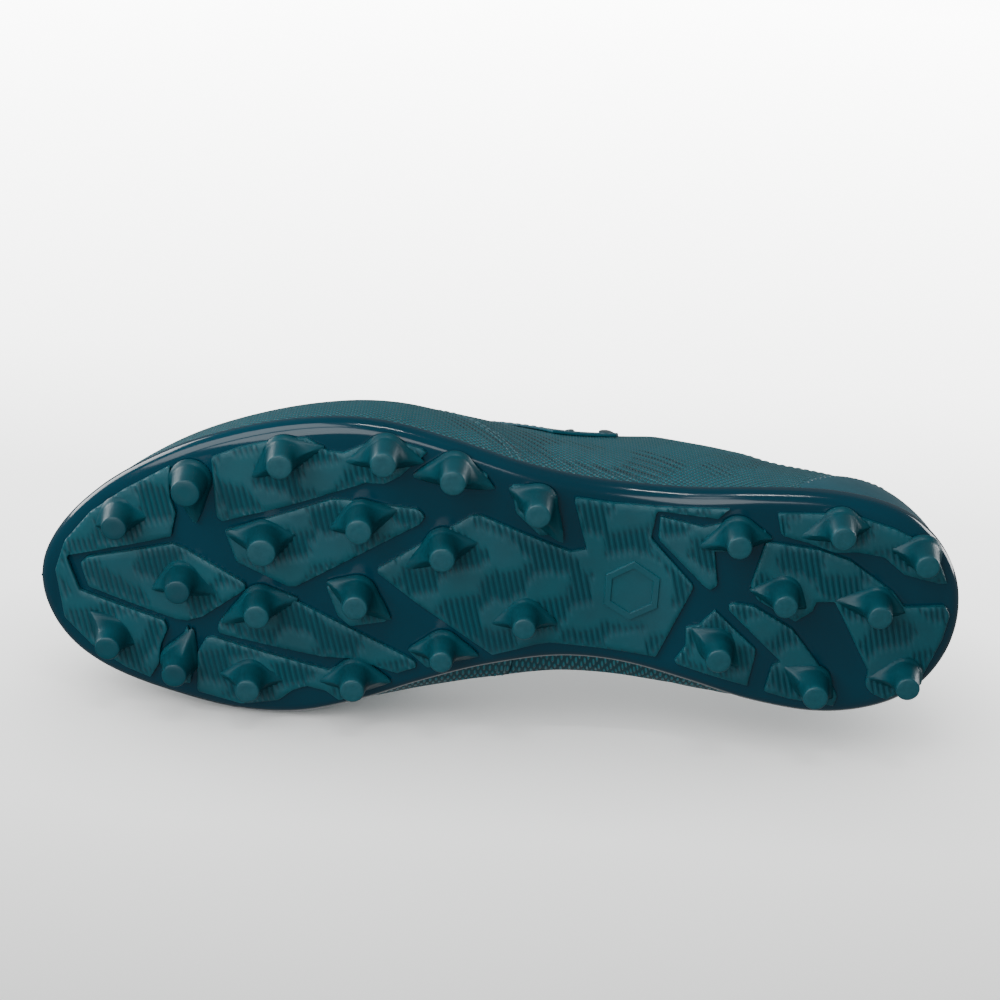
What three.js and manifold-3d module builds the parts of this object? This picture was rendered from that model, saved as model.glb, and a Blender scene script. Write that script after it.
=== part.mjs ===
// Soccer cleat, left shoe, about EU 42. Units are millimetres.
// +Z is up, the toe points to -X, the outer (lateral) side of the foot is -Y.
// The origin lies on the ground under the middle of the shoe, where the stud tips rest.
import * as THREE from "three";
import { mergeVertices } from "three/addons/utils/BufferGeometryUtils.js";
import { ConvexGeometry } from "three/addons/geometries/ConvexGeometry.js";
import Module from "manifold-3d";

const wasm = await Module();
wasm.setup();

// ---- driving dimensions ----
const shoeLength = 289; // length of the upper at its lower edge
const ballWidth = 99; // width of the upper at its lower edge, at the ball of the foot
const upperHeight = 1; // scale of the crest of the upper above its lower edge
const seam = 0.3; // gap left between pieces that are glued or sewn together

const plateThickness = 1.8;
const rimThickness = 1.5;
const rimHeight = 6; // top of the moulded rim above the plate's underside
const treadThickness = 1.3;
const studLength = 10.8; // from the tread's face to the stud's tip
const toeSpring = 11; // lift of the toe at the end of the plate
const archLift = 3;
const heelLift = 2;

const upperThickness = 1.3;
const backingThickness = 0.7;
const liningThickness = 0.6;
const overlayThickness = 0.8;
const marginWidth = 10; // lasting margin turned in under the board
const boardThickness = 1.5;
const socklinerThickness = 4;
const coverThickness = 0.6;
const heelCupThickness = 2.5;
const heelCupHeight = 12;
const paddingThickness = 4.5;
const paddingDepth = 17; // depth of the padded band below the collar line
const shankThickness = 1.2;
const fillerThickness = 1.2;

const throatHalfWidth = 11; // half width of the lace opening at its front
const throatSpread = 4; // how much wider each side is at the collar
const eyestayWidth = 14;
const eyestayDrop = 27; // how far the eyestay reaches down each side from the crest
const eyeletInset = 6.5; // from the edge of the throat to the middle of an eyelet
const eyeletRadius = 2.6;
const eyeletPairs = 6;
const laceRadius = 1.3;
const tongueThickness = 3.8;
const tongueLining = 0.6;
const tabWidth = 14;
const tabThickness = 1.4;
const tabLoop = 7; // outer radius of the heel loop

// ---- plan and side outlines, drawn for the nominal length and width ----
const nominalLength = 289;
const nominalWidth = 99;
const sx = shoeLength / nominalLength;
const sy = ballWidth / nominalWidth;
const toeX = -146 * sx;
const heelX = 143 * sx;

// Lower edge of the upper as [x, y]: lateral side, then medial side.
const lateralEdge = [
  [-146, 16], [-142, 3], [-132, -10], [-117, -23], [-98, -34.5], [-76, -42.8], [-56, -46.6], [-38, -46.4],
  [-18, -42], [5, -35.5], [28, -31], [52, -30], [76, -32.3], [100, -32.7], [119, -29], [132, -20.5],
  [140.5, -8], [143, 5],
];
const medialEdge = [
  [-146, 16], [-143.5, 27.5], [-135, 38], [-121, 45], [-102, 49.8], [-82, 52.8], [-62, 52], [-42, 46],
  [-24, 38.3], [-4, 31], [16, 26.8], [36, 27.5], [60, 32], [84, 37.6], [103, 39.6], [119, 36.8],
  [132.5, 29.5], [140.5, 18], [143, 5],
];
// Height of the crest above the lower edge, as [x, height].
const crestLine = [
  [-146, 0], [-142.5, 14], [-138, 20], [-130, 26.5], [-115, 34], [-95, 40.5], [-70, 46], [-45, 52.5],
  [-20, 61], [0, 69], [20, 76], [38, 83.5], [50, 89], [62, 89], [75, 84], [90, 80], [105, 79], [125, 79],
  [143, 79],
];
// Squareness of the cross-section: 2 is an ellipse, more is boxier.
const squareness = [
  [-146, 2.7], [-60, 2.7], [-20, 2.5], [20, 2.35], [45, 2.25], [75, 1.95], [100, 1.6], [143, 1.5],
];
const sideSwell = 0.05; // the sides belly out by this share of the half width
const heelLean = 8; // how far the back of the collar leans towards the toe
const heelLeanHeight = 60;

// Collar line seen from the side, as [x, z].
const collarLine = [
  [20, 112], [34, 96], [46, 84], [60, 73], [76, 65], [92, 62], [108, 64.5], [121, 70], [131, 77], [150, 88],
];

// ---- small tools ----
// A smooth line through [x, value] pairs, as a function of x.
function smooth(pairs) {
  const points = new THREE.SplineCurve(pairs.map(([x, v]) => new THREE.Vector2(x, v))).getPoints(400);
  return (x) => {
    let low = 0;
    let high = points.length - 1;
    if (x <= points[0].x) return points[0].y;
    if (x >= points[high].x) return points[high].y;
    while (high - low > 1) {
      const middle = (low + high) >> 1;
      if (points[middle].x > x) high = middle;
      else low = middle;
    }
    const share = (x - points[low].x) / (points[high].x - points[low].x);
    return points[low].y + share * (points[high].y - points[low].y);
  };
}
const clamp01 = (v) => Math.min(1, Math.max(0, v));
const easeIn = (v) => clamp01(v) ** 2 * (3 - 2 * clamp01(v));

// Stations run from the toe (0) to the heel (1), close together at both ends, so round ends stay round.
const xAt = (u) => toeX + (shoeLength * (1 - Math.cos(Math.PI * u))) / 2;
const uAt = (x) => Math.acos(1 - 2 * clamp01((x - toeX) / shoeLength)) / Math.PI;
const byStation = (pairs, scale) => smooth(pairs.map(([x, v]) => [uAt(x * sx), v * scale]));
const lateralY = byStation(lateralEdge, sy);
const medialY = byStation(medialEdge, sy);
const crestHeight = byStation(crestLine, upperHeight);
const squarenessAt = byStation(squareness, 1);

// Height of the plate's underside above the ground.
function plateZ(x) {
  const toe = clamp01((-55 * sx - x) / (89 * sx)) ** 2 * toeSpring;
  const arch = x > 0 && x < 80 * sx ? archLift * Math.sin((Math.PI * x) / (80 * sx)) ** 2 : 0;
  const heel = clamp01((x / sx - 118) / 26) ** 2 * heelLift;
  return treadThickness + studLength + seam + toe + arch + heel;
}
const featherZ = (x) => plateZ(x) + plateThickness + seam;

// Any closed geometry as a solid that can be cut and joined.
function solid(geometry) {
  const bare = geometry.clone();
  for (const name of Object.keys(bare.attributes)) if (name !== "position") bare.deleteAttribute(name);
  const merged = mergeVertices(bare, 1e-4);
  const index = merged.index.array;
  const triVerts = [];
  for (let i = 0; i < index.length; i += 3) {
    const [a, b, c] = [index[i], index[i + 1], index[i + 2]];
    if (a !== b && b !== c && c !== a) triVerts.push(a, b, c);
  }
  return new wasm.Manifold(
    new wasm.Mesh({
      numProp: 3,
      vertProperties: merged.attributes.position.array,
      triVerts: new Uint32Array(triVerts),
    }),
  );
}
const joined = (solids) => solids.reduce((all, one) => all.add(one));
// The largest body, without crumbs left by a cut.
const mainBody = (made) => made.decompose().sort((a, b) => b.volume() - a.volume())[0];

// A closed outline with rounded corners, from points in the nominal plan.
function outline(points, corner = 1.5) {
  const at = points.map(([x, y]) => new THREE.Vector2(x * sx, y * sy));
  const shape = new THREE.Shape();
  at.forEach((point, i) => {
    const before = at[(i + at.length - 1) % at.length];
    const after = at[(i + 1) % at.length];
    const r = Math.min(corner, point.distanceTo(before) / 2.5, point.distanceTo(after) / 2.5);
    const start = point.clone().lerp(before, r / point.distanceTo(before));
    const end = point.clone().lerp(after, r / point.distanceTo(after));
    if (i === 0) shape.moveTo(start.x, start.y);
    else shape.lineTo(start.x, start.y);
    shape.quadraticCurveTo(point.x, point.y, end.x, end.y);
  });
  return shape;
}
// A shape drawn from above, made as tall as from z low to z high.
function upright(shape, low = -20, high = 160) {
  const made = new THREE.ExtrudeGeometry(shape, { depth: high - low, bevelEnabled: false, curveSegments: 1 });
  return solid(made.translate(0, 0, low));
}
// A shape drawn from the side in x and z, made as wide as from y low to y high.
function sideways(shape, low = -100, high = 100) {
  const made = new THREE.ExtrudeGeometry(shape, { depth: high - low, bevelEnabled: false, curveSegments: 6 });
  return solid(made.rotateX(Math.PI / 2).translate(0, high, 0));
}
// The space between two heights that are functions of x.
function layer(low, high) {
  const from = toeX - 20;
  const steps = 28;
  const step = (shoeLength + 40) / steps;
  const places = Array.from({ length: steps + 1 }, (_, i) => from + i * step);
  const lower = places.map((x) => new THREE.Vector2(x, low(x)));
  const upper = places.map((x) => new THREE.Vector2(x, high(x)));
  return sideways(new THREE.Shape([...lower, ...upper.reverse()]));
}
const below = (height) => layer(() => -60, height);
const above = (height) => layer(height, () => 220);

// ---- the foot-shaped form that every layer of the upper follows ----
// Point at station u and angle phi (0 lateral edge, pi medial edge), moved in from the outer skin by inset.
function formPoint(u, phi, inset) {
  const shrink = 1 - (2 * inset) / shoeLength;
  const middle = (toeX + heelX) / 2;
  const x = middle + (xAt(u) - middle) * shrink;
  const half = (medialY(u) - lateralY(u)) / 2;
  const centre = (medialY(u) + lateralY(u)) / 2;
  const halfIn = Math.max(0, half - inset * Math.min(1, half / 30));
  const crest = crestHeight(u);
  const crestIn = Math.max(0, crest - inset * Math.min(1, crest / 25));
  const power = 2 / squarenessAt(u);
  const c = Math.abs(Math.cos(phi)) < 1e-9 ? 0 : Math.cos(phi);
  const swell = 1 + sideSwell * Math.sin(2 * phi) ** 2;
  const y = centre - Math.sign(c) * halfIn * Math.abs(c) ** power * swell;
  const rise = crestIn * Math.abs(Math.sin(phi)) ** power;
  const z = featherZ(xAt(u)) + rise;
  const lean = heelLean * clamp01(rise / heelLeanHeight) ** 2 * easeIn((x / sx - 50) / 90);
  return new THREE.Vector3(x - lean, y, z);
}
// The closed form, inset from the outer skin.
const stations = 20;
const around = 12;
const formCache = new Map();
function form(inset) {
  const key = inset.toFixed(3);
  if (formCache.has(key)) return formCache.get(key);
  const positions = [];
  for (let i = 0; i <= stations; i++)
    for (let j = 0; j <= around; j++)
      positions.push(...formPoint(i / stations, (Math.PI * j) / around, inset).toArray());
  const index = [];
  const row = around + 1;
  const quad = (a, b, c, d) => index.push(a, b, c, a, c, d);
  for (let i = 0; i < stations; i++) {
    for (let j = 0; j < around; j++) {
      const a = i * row + j;
      quad(a, a + row, a + row + 1, a + 1);
    }
    quad(i * row + around, (i + 1) * row + around, (i + 1) * row, i * row);
  }
  const geometry = new THREE.BufferGeometry();
  geometry.setAttribute("position", new THREE.Float32BufferAttribute(positions, 3));
  geometry.setIndex(index);
  const made = solid(geometry);
  formCache.set(key, made);
  return made;
}
// A wall of the form between two insets, open underneath, that starts at floor above the lower edge.
const wall = (outer, inner, floor) =>
  form(outer).subtract(form(inner)).intersect(above((x) => featherZ(x) + floor));
const crestY = (x) => (medialY(uAt(x)) + lateralY(uAt(x))) / 2;
// Height of the form's outer skin above a plan point.
function skinZ(x, y) {
  const u = uAt(x);
  const steps = 120;
  const turn = (i) => formPoint(u, (Math.PI * i) / steps, 0);
  for (let i = 0; i < steps; i++) {
    const near = turn(i);
    const far = turn(i + 1);
    if (near.y <= y && y <= far.y) return near.z + ((far.z - near.z) * (y - near.y)) / (far.y - near.y);
  }
  return featherZ(x);
}
// The point at a depth under the skin, measured square to it, with the skin's outward normal.
function underSkin(x, y, depth) {
  const h = 0.5;
  const fallX = (skinZ(x - h, y) - skinZ(x + h, y)) / (2 * h);
  const fallY = (skinZ(x, y - h) - skinZ(x, y + h)) / (2 * h);
  const normal = new THREE.Vector3(fallX, fallY, 1).normalize();
  return { point: new THREE.Vector3(x, y, skinZ(x, y)).addScaledVector(normal, -depth), normal };
}

// The form's lower edge seen from above, moved in by inset, as an upright block.
function planPrism(inset) {
  const points = [];
  for (let i = 0; i <= stations; i++) points.push(formPoint(i / stations, 0, inset));
  for (let i = stations; i >= 0; i--) points.push(formPoint(i / stations, Math.PI, inset));
  const flat = points.map((p) => new THREE.Vector2(p.x, p.y));
  const distinct = flat.filter((p, i) => p.distanceTo(flat[(i + 1) % flat.length]) > 0.01);
  return upright(new THREE.Shape(distinct));
}

// ---- plan and side regions of the upper's pieces ----
const throatFront = -42;
const throatEnd = 70;
const throatHalf = (x) => throatHalfWidth + throatSpread * clamp01((x - throatFront) / 80);
// U-shaped region around the lace opening, wider than it by extra on each side.
function throatRegion(extra) {
  const front = throatFront - extra;
  const shape = new THREE.Shape();
  const half = (x) => throatHalf(x) + extra;
  const turn = front + half(throatFront);
  const side = (x, sign) => [x * sx, crestY(x * sx) + sign * half(x)];
  shape.moveTo(...side(throatEnd, -1));
  for (const x of [40, 10, -15]) shape.lineTo(...side(x, -1));
  const steps = 8;
  for (let i = 0; i <= steps; i++) {
    const angle = (Math.PI * i) / steps;
    const x = (turn - half(turn) * Math.sin(angle)) * sx;
    shape.lineTo(x, crestY(turn * sx) - half(turn) * Math.cos(angle));
  }
  for (const x of [-15, 10, 40]) shape.lineTo(...side(x, 1));
  shape.lineTo(...side(throatEnd, 1));
  return upright(shape);
}
const throat = throatRegion(0);
const side = (points) => {
  const at = points.map(([x, z]) => new THREE.Vector2(x * sx, z));
  return sideways(new THREE.Shape(at));
};
const collarCurve = smooth(collarLine.map(([x, z]) => [x * sx, z * upperHeight]));
const openTop = above((x) => (x < 20 * sx ? 200 : collarCurve(x)));
const vampSide = side([[-200, -20], [8, -20], [0, 40], [-34, 66], [-44, 200], [-200, 200]]);
const behindVamp = side([[8.4, -20], [200, -20], [200, 200], [-43.5, 200], [-33.5, 66], [0.4, 40]]);
const lateralHalf = upright(new THREE.Shape(
  [[-200, -100], [200, -100], [200, 4.85 * sy], [-200, 4.85 * sy]].map(([x, y]) => new THREE.Vector2(x, y))));
const medialHalf = upright(new THREE.Shape(
  [[-200, 100], [-200, 5.15 * sy], [200, 5.15 * sy], [200, 100]].map(([x, y]) => new THREE.Vector2(x, y))));

// ---- sole ----
const group = new THREE.Group();
function piece(name, made, colour, roughness, metalness = 0) {
  const mesh = made.getMesh();
  const geometry = new THREE.BufferGeometry();
  geometry.setAttribute("position", new THREE.Float32BufferAttribute(mesh.vertProperties, 3));
  geometry.setIndex(new THREE.Uint32BufferAttribute(mesh.triVerts, 1));
  geometry.computeVertexNormals();
  const material = new THREE.MeshStandardMaterial({ color: colour, roughness, metalness });
  const node = new THREE.Mesh(geometry, material);
  node.name = name;
  group.add(node);
}
const colours = {
  plate: 0x0b4455,
  tread: 0x1d5660,
  upper: 0x17606c,
  overlay: 0x14525f,
  soft: 0x12404b,
  lining: 0x1b2b30,
  collar: 0x10282e,
  lace: 0x11363f,
  board: 0xb9ad92,
  stiffener: 0xc9c2ae,
  shank: 0x8a8f94,
  felt: 0x3b3f42,
};

const rimTop = (x) => plateZ(x) + rimHeight + 1.5 * easeIn((x / sx - 60) / 50);
const plateTop = (x) => plateZ(x) + plateThickness;
const plateOut = rimThickness + seam;
const footing = (x) => featherZ(x) + 1.5; // the upright prisms reach up into the form, so the two join
const plateBlock = form(-plateOut).add(planPrism(-plateOut).intersect(layer(plateZ, footing)));
const plateHollow = form(-seam).add(planPrism(-seam).intersect(layer(plateTop, footing)));
const plate = plateBlock.subtract(plateHollow).intersect(below(rimTop));
piece("outsole_plate", mainBody(plate), colours.plate, 0.2);

// A stud: a tapering round post with a fillet at its foot and a softened tip.
function stud(radius) {
  const profile = [
    [0, 4], [radius + 1.3, 4], [radius + 1.3, 0], [radius, -studLength + 0.6], [radius - 0.5, -studLength],
    [0, -studLength],
  ];
  const points = profile.map(([r, z]) => new THREE.Vector2(r, z)).reverse();
  return solid(new THREE.LatheGeometry(points, 10).rotateX(Math.PI / 2));
}
// A wing: a low ridge that runs from the stud down to the tread.
function wing(degrees, length) {
  const halfWidth = 4.6;
  const drop = 6.5;
  const points = [
    [-1, -halfWidth, 4], [-1, halfWidth, 4], [length, 0, 4],
    [-1, -halfWidth, 0], [-1, halfWidth, 0], [length, 0, 0], [0, 0, -drop],
  ].map(([x, y, z]) => new THREE.Vector3(x, y, z));
  return solid(new ConvexGeometry(points).rotateZ((degrees * Math.PI) / 180));
}
// Studs as place, tip radius and wings [direction in degrees, length].
const studs = {
  toeLateral: { at: [-121, -10.7], radius: 4, wings: [[-3, 11], [150, 8]] },
  starLateral: { at: [-98.4, -25.7], radius: 4.5, wings: [[83, 14]] },
  ballOuter1: { at: [-69.6, -37.4], radius: 4, wings: [[-15, 12], [138, 12]] },
  ballOuter2: { at: [-38.2, -40.4], radius: 4, wings: [[12, 11.5], [161, 12]] },
  ballOuter3: { at: [-16.8, -36], radius: 4, wings: [[23, 13], [167, 12.5]] },
  waistOuter: { at: [9.6, -26.8], radius: 4, wings: [[57, 15], [204, 9.5]] },
  ballMiddle1: { at: [-74.5, -8.2], radius: 4.5, wings: [[-13, 9], [186, 12]] },
  ballMiddle2: { at: [-44.8, -17.7], radius: 4.1, wings: [[-18, 11], [156, 10]] },
  waistMiddle: { at: [-18.8, -10.1], radius: 4, wings: [[-10, 10], [144, 14]] },
  toeMiddle: { at: [-100.7, 8.3], radius: 4, wings: [[22, 14], [155, 10]] },
  ballInner1: { at: [-75.6, 14], radius: 4, wings: [[-10, 11.5], [147, 14]] },
  ballInner2: { at: [-45, 8.3], radius: 4, wings: [[38, 13], [199, 9.5]] },
  toeMedial: { at: [-123.3, 31.4], radius: 4, wings: [[19, 9], [225, 9.5]] },
  starMedial: { at: [-101.5, 37.7], radius: 4, wings: [[-70, 12]] },
  edgeInner1: { at: [-78, 40.3], radius: 3.9, wings: [[4, 10], [180, 9]] },
  edgeInner2: { at: [-44.8, 37.3], radius: 3.9, wings: [[7, 11], [166, 11]] },
  waistInner: { at: [-17.3, 25.1], radius: 3.6, wings: [[11, 11], [170, 10.5]] },
  archInner: { at: [7.9, 11.8], radius: 3.6, wings: [[14, 10], [160, 11]] },
  heelOuter1: { at: [71.9, -20.7], radius: 3.8, wings: [[4, 10], [155, 12]] },
  heelOuter2: { at: [103.1, -26.1], radius: 3.8, wings: [[0, 8.5], [157, 12]] },
  heelOuter3: { at: [129.8, -18.4], radius: 3.8, wings: [[50, 7], [184, 9.5]] },
  heelMiddle1: { at: [88, -1.9], radius: 3.8, wings: [[32, 8.5], [180, 9.5]] },
  heelMiddle2: { at: [117.4, -0.3], radius: 3.8, wings: [[15, 9], [180, 12]] },
  heelInner1: { at: [69.3, 18.5], radius: 4, wings: [[41, 10], [213, 9.5]] },
  heelInner2: { at: [100.7, 29], radius: 4, wings: [[36, 8], [207, 10]] },
  heelInner3: { at: [129.1, 23.9], radius: 3.8, wings: [[29, 6], [169, 11]] },
};
// Raised tread pieces as outline points and the studs that stand on each.
const treads = {
  tread_toe: {
    points: [
      [-142.5, 12], [-139.5, 2], [-131, -9.5], [-120, -19], [-105, -29.3], [-105, -19], [-103, -14],
      [-104.5, -5.5], [-139, 6.5], [-134.5, 18], [-106.5, 24.3], [-105.4, 27], [-107.6, 33], [-108.2, 40],
      [-111, 45.2], [-119.5, 42.6], [-130.5, 36.6], [-139.5, 28.5],
    ],
    on: ["toeLateral", "toeMedial"],
  },
  tread_toe_centre: {
    points: [
      [-134, 8.5], [-132, 6], [-104, -3], [-100, -1.8], [-80.5, 8], [-80.5, 10], [-94, 21],
      [-99, 23.2], [-103, 23], [-131.5, 16],
    ],
    on: ["toeMiddle"],
  },
  tread_star_lateral: {
    points: [
      [-103, -28.5], [-98.5, -32], [-93.6, -28.5], [-93.6, -21], [-96, -16], [-97.3, -11],
      [-99.4, -17], [-103.2, -21],
    ],
    on: ["starLateral"],
  },
  tread_ball_lateral: {
    points: [
      [-92, -33.8], [-83.5, -38], [-72, -41.8], [-62.5, -43.2], [-55.8, -39.2], [-51, -39], [-42.5, -43.4],
      [-34, -43.8], [-25, -41.5], [-29.5, -37], [-33.5, -32.5], [-38, -29.8], [-44, -29.6],
      [-67, -20.4], [-88.2, -12.8], [-90, -14],
    ],
    on: ["ballOuter1", "ballOuter2"],
  },
  tread_waist_pad: {
    points: [[-28, -34.5], [-17.5, -40.3], [-5, -34], [-17, -28.5]],
    on: ["ballOuter3"],
  },
  tread_arch_pad: {
    points: [[1, -32], [8.5, -32.3], [13.5, -30], [18.2, -16.8], [11, -15.5], [3, -23]],
    on: ["waistOuter"],
  },
  tread_ball_centre: {
    points: [
      [-87.3, -9.6], [-54.5, -23.2], [-50, -23.4], [-27.5, -21.8], [-25, -19.8], [-26.5, -17],
      [-64.5, 7.3], [-67, 7.5], [-83.5, 0.5],
    ],
    on: ["ballMiddle1", "ballMiddle2"],
  },
  tread_ball_pad: {
    points: [[-55, 6.5], [-45.5, 4], [-34.5, 15.5], [-36, 17.5], [-47, 20], [-51, 16.5]],
    on: ["ballInner2"],
  },
  tread_ball_medial: {
    points: [
      [-89.3, 24], [-87.5, 20.5], [-79.5, 11], [-75, 10], [-66.5, 10.3], [-64, 12.7], [-25.8, 31],
      [-25.2, 33], [-31.5, 35.6], [-38.5, 33.6], [-45, 31.4], [-55.7, 31.4], [-88.5, 26.3],
    ],
    on: ["ballInner1"],
  },
  tread_medial_star_pad: {
    points: [[-106.5, 43.5], [-103, 35.5], [-98.7, 24.5], [-96.8, 36], [-97.8, 45.5], [-103, 46]],
    on: ["starMedial"],
  },
  tread_ball_edge: {
    points: [
      [-95.5, 34], [-92.8, 28.6], [-90.5, 28], [-53, 36.3], [-50, 34.4], [-45.5, 34], [-33.8, 39.3],
      [-49.5, 46.8],
      [-54, 43.6], [-60, 42.4], [-64.5, 44.2], [-69, 48.3], [-81, 50.8], [-95.5, 48],
    ],
    on: ["edgeInner1", "edgeInner2"],
  },
  tread_waist_medial: {
    points: [[-28, 27.6], [-18, 19.8], [-6.5, 26.3], [-17, 32.3], [-22, 32.8]],
    on: ["waistInner"],
  },
  tread_midfoot: {
    points: [
      [-40, 0], [-10.5, -21], [-7.5, -21], [21, -10], [25.8, -11], [20.5, -28.6], [33, -27],
      [47, -26.8], [69, -28.6], [65.5, -25], [46.6, -25.4],
      [45.5, -16], [60.3, -1], [50.5, 25], [33, 23.2], [16.5, 21.6], [12, 22.4], [-1.5, 26.8], [-26, 10.5],
    ],
    on: ["waistMiddle", "archInner"],
  },
  tread_heel_front: {
    points: [
      [47.8, -23.6], [61.5, -21.6], [68, -24], [82, -22], [80, -20], [70, -14.5], [65.5, -14],
      [67.5, -2.5], [65.5, -0.5], [63.5, -1.5], [47.8, -16],
    ],
    on: ["heelOuter1"],
  },
  tread_heel_lateral: {
    points: [
      [83.5, -28.4], [97, -29.2], [108.5, -29], [120.5, -25.6], [129, -21.6], [135.5, -15.3],
      [139, -8], [136, -8],
      [125, -10.6], [118, -16.2], [110, -17.2], [102.5, -16.6], [94, -19.3], [85.5, -21.2],
    ],
    on: ["heelOuter2", "heelOuter3"],
  },
  tread_heel_centre: {
    points: [
      [81, -18.6], [98, -17], [108, -14], [122.8, -3.8], [126.5, 0.8], [139.5, 0], [141.3, 3], [140, 11.5],
      [134.3, 27.8], [125, 33.6], [120, 31.6], [117.5, 29], [118, 24], [106.3, 3.2], [104.5, 0.2],
      [98.8, 0.8], [98, 4],
      [93, 8], [80.5, 1.5], [77.8, -3],
    ],
    on: ["heelMiddle1", "heelMiddle2", "heelInner3"],
  },
  tread_heel_medial: {
    points: [
      [70.8, 4.8], [73, 3.3], [79.5, 3.8], [92.5, 11], [105.2, 26.7], [109.2, 33.5], [108.3, 37],
      [94, 35.4], [85.8, 33.4], [87.3, 24.3], [90, 22.5],
    ],
    on: ["heelInner2"],
  },
  tread_heel_inner: {
    points: [
      [67.5, 6.4], [63, 12.2], [59, 13.6], [59.6, 20], [56, 26.3], [66, 28.7], [80.2, 31.8],
      [81.8, 19],
    ],
    on: ["heelInner1"],
  },
};
const treadTop = (x) => plateZ(x) - seam;
const treadFace = (x) => treadTop(x) - treadThickness;
const treadLayer = layer(treadFace, treadTop);
const underTread = below(treadTop);
for (const [name, { points, on }] of Object.entries(treads)) {
  const slab = upright(outline(points), -20, 60).intersect(treadLayer);
  const feet = on.map((key) => {
    const { at, radius, wings } = studs[key];
    const [x, y] = [at[0] * sx, at[1] * sy];
    const parts = [stud(radius), ...wings.map(([degrees, length]) => wing(degrees, length))];
    return joined(parts).translate(x, y, treadFace(x)).intersect(underTread);
  });
  piece(name, mainBody(joined([slab, ...feet])), colours.tread, 0.55);
}

// ---- parts between the sole and the foot ----
const boardFloor = upperThickness + seam;
const footFloor = boardFloor + boardThickness + seam;
const ringHole = planPrism(marginWidth);
const boardLow = (x) => featherZ(x) + boardFloor;
const boardHigh = (x) => boardLow(x) + boardThickness;
piece("insole_board", mainBody(form(boardFloor).intersect(layer(boardLow, boardHigh))), colours.board, 0.8);

// The shank's outline, wider than the shank itself by extra on every side.
const shankPlan = (extra) => {
  const [front, back, half] = [-18 - extra, 84 + extra, 8 + extra];
  const points = [
    [front, -half * 0.7], [front + 10, -half], [back - 14, -half], [back, -half * 0.3],
    [back, half * 0.6], [back - 14, half + 2], [front + 10, half], [front, half * 0.7],
  ];
  return upright(outline(points, 4));
};
const shankLow = (x) => plateTop(x) + seam;
const shankLayer = layer(shankLow, (x) => shankLow(x) + shankThickness);
piece("shank", mainBody(shankPlan(0).intersect(shankLayer)), colours.shank, 0.4);
const fillerLayer = layer(shankLow, (x) => shankLow(x) + fillerThickness);
const filler = planPrism(marginWidth + 2 * seam).intersect(fillerLayer).subtract(shankPlan(2 * seam));
piece("bottom_filler", mainBody(filler), colours.felt, 0.9);

const padInset = boardFloor + backingThickness + seam + liningThickness + seam;
const socklinerTop = (x) => featherZ(x) + footFloor + socklinerThickness;
const cupTop = (x) => socklinerTop(x) + heelCupHeight * easeIn((x / sx - 55) / 45);
const cupHollow = form(padInset + heelCupThickness).intersect(above(socklinerTop));
const sockliner = form(padInset).intersect(layer((x) => featherZ(x) + footFloor, cupTop)).subtract(cupHollow);
piece("sockliner", mainBody(sockliner), colours.soft, 0.9);
const coverLow = (x) => socklinerTop(x) + seam;
const cover = form(padInset + heelCupThickness + seam).intersect(
  layer(coverLow, (x) => coverLow(x) + coverThickness));
piece("sockliner_cover", mainBody(cover), colours.overlay, 0.95);

// ---- upper ----
// Eyelet places: pairs along both sides of the throat. A fraction lies between two pairs.
const eyeletX = (i) => (-32.5 + (i * 64) / (eyeletPairs - 1)) * sx;
function eyelet(i, sign, depth, inward = 0) {
  const x = eyeletX(i);
  return underSkin(x, crestY(x) + sign * (throatHalf(x / sx) + eyeletInset - inward), depth);
}
function eyeletHoles() {
  const made = [];
  for (let i = 0; i < eyeletPairs; i++)
    for (const sign of [-1, 1]) {
      const { point, normal } = eyelet(i, sign, 0);
      const turn = new THREE.Quaternion().setFromUnitVectors(new THREE.Vector3(0, 1, 0), normal);
      const hole = new THREE.CylinderGeometry(eyeletRadius, eyeletRadius, 16, 6);
      made.push(solid(hole.applyQuaternion(turn).translate(point.x, point.y, point.z)));
    }
  return joined(made);
}
const holes = eyeletHoles();

// Outer skin with its lasting margin, cut into vamp and quarters.
const marginTop = (x) => featherZ(x) + upperThickness;
const footSpace = form(upperThickness).intersect(above(marginTop));
const shell = form(0).subtract(footSpace).subtract(ringHole.intersect(below((x) => marginTop(x) + 1)));
piece("vamp", mainBody(shell.intersect(vampSide).subtract(throat)), colours.upper, 0.45);
const quarters = shell.intersect(behindVamp).subtract(throat).subtract(openTop).subtract(holes);
piece("quarter_lateral", mainBody(quarters.intersect(lateralHalf)), colours.upper, 0.45);
piece("quarter_medial", mainBody(quarters.intersect(medialHalf)), colours.upper, 0.45);

// Reinforcing layer behind the skin: toe puff, midfoot backing and heel counter.
const backingIn = upperThickness + seam;
const backingEdge = throatRegion(eyeletInset + eyeletRadius + 2); // the backing stops short of the eyelets
const backing = wall(backingIn, backingIn + backingThickness, footFloor).subtract(backingEdge)
  .subtract(openTop);
const toeSide = side([[-200, -20], [-92, -20], [-104, 200], [-200, 200]]);
piece("toe_puff", mainBody(backing.intersect(toeSide)), colours.stiffener, 0.7);
const backingSide = backing.intersect(side([[-62, -20], [83, -20], [95, 200], [-50, 200]]));
piece("backing_lateral", mainBody(backingSide.intersect(lateralHalf)), colours.soft, 0.9);
piece("backing_medial", mainBody(backingSide.intersect(medialHalf)), colours.soft, 0.9);
const heelSide = side([[83.5, -20], [200, -20], [200, 58], [112, 56], [96, 40]]);
piece("heel_counter", mainBody(backing.intersect(heelSide)), colours.stiffener, 0.7);

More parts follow.
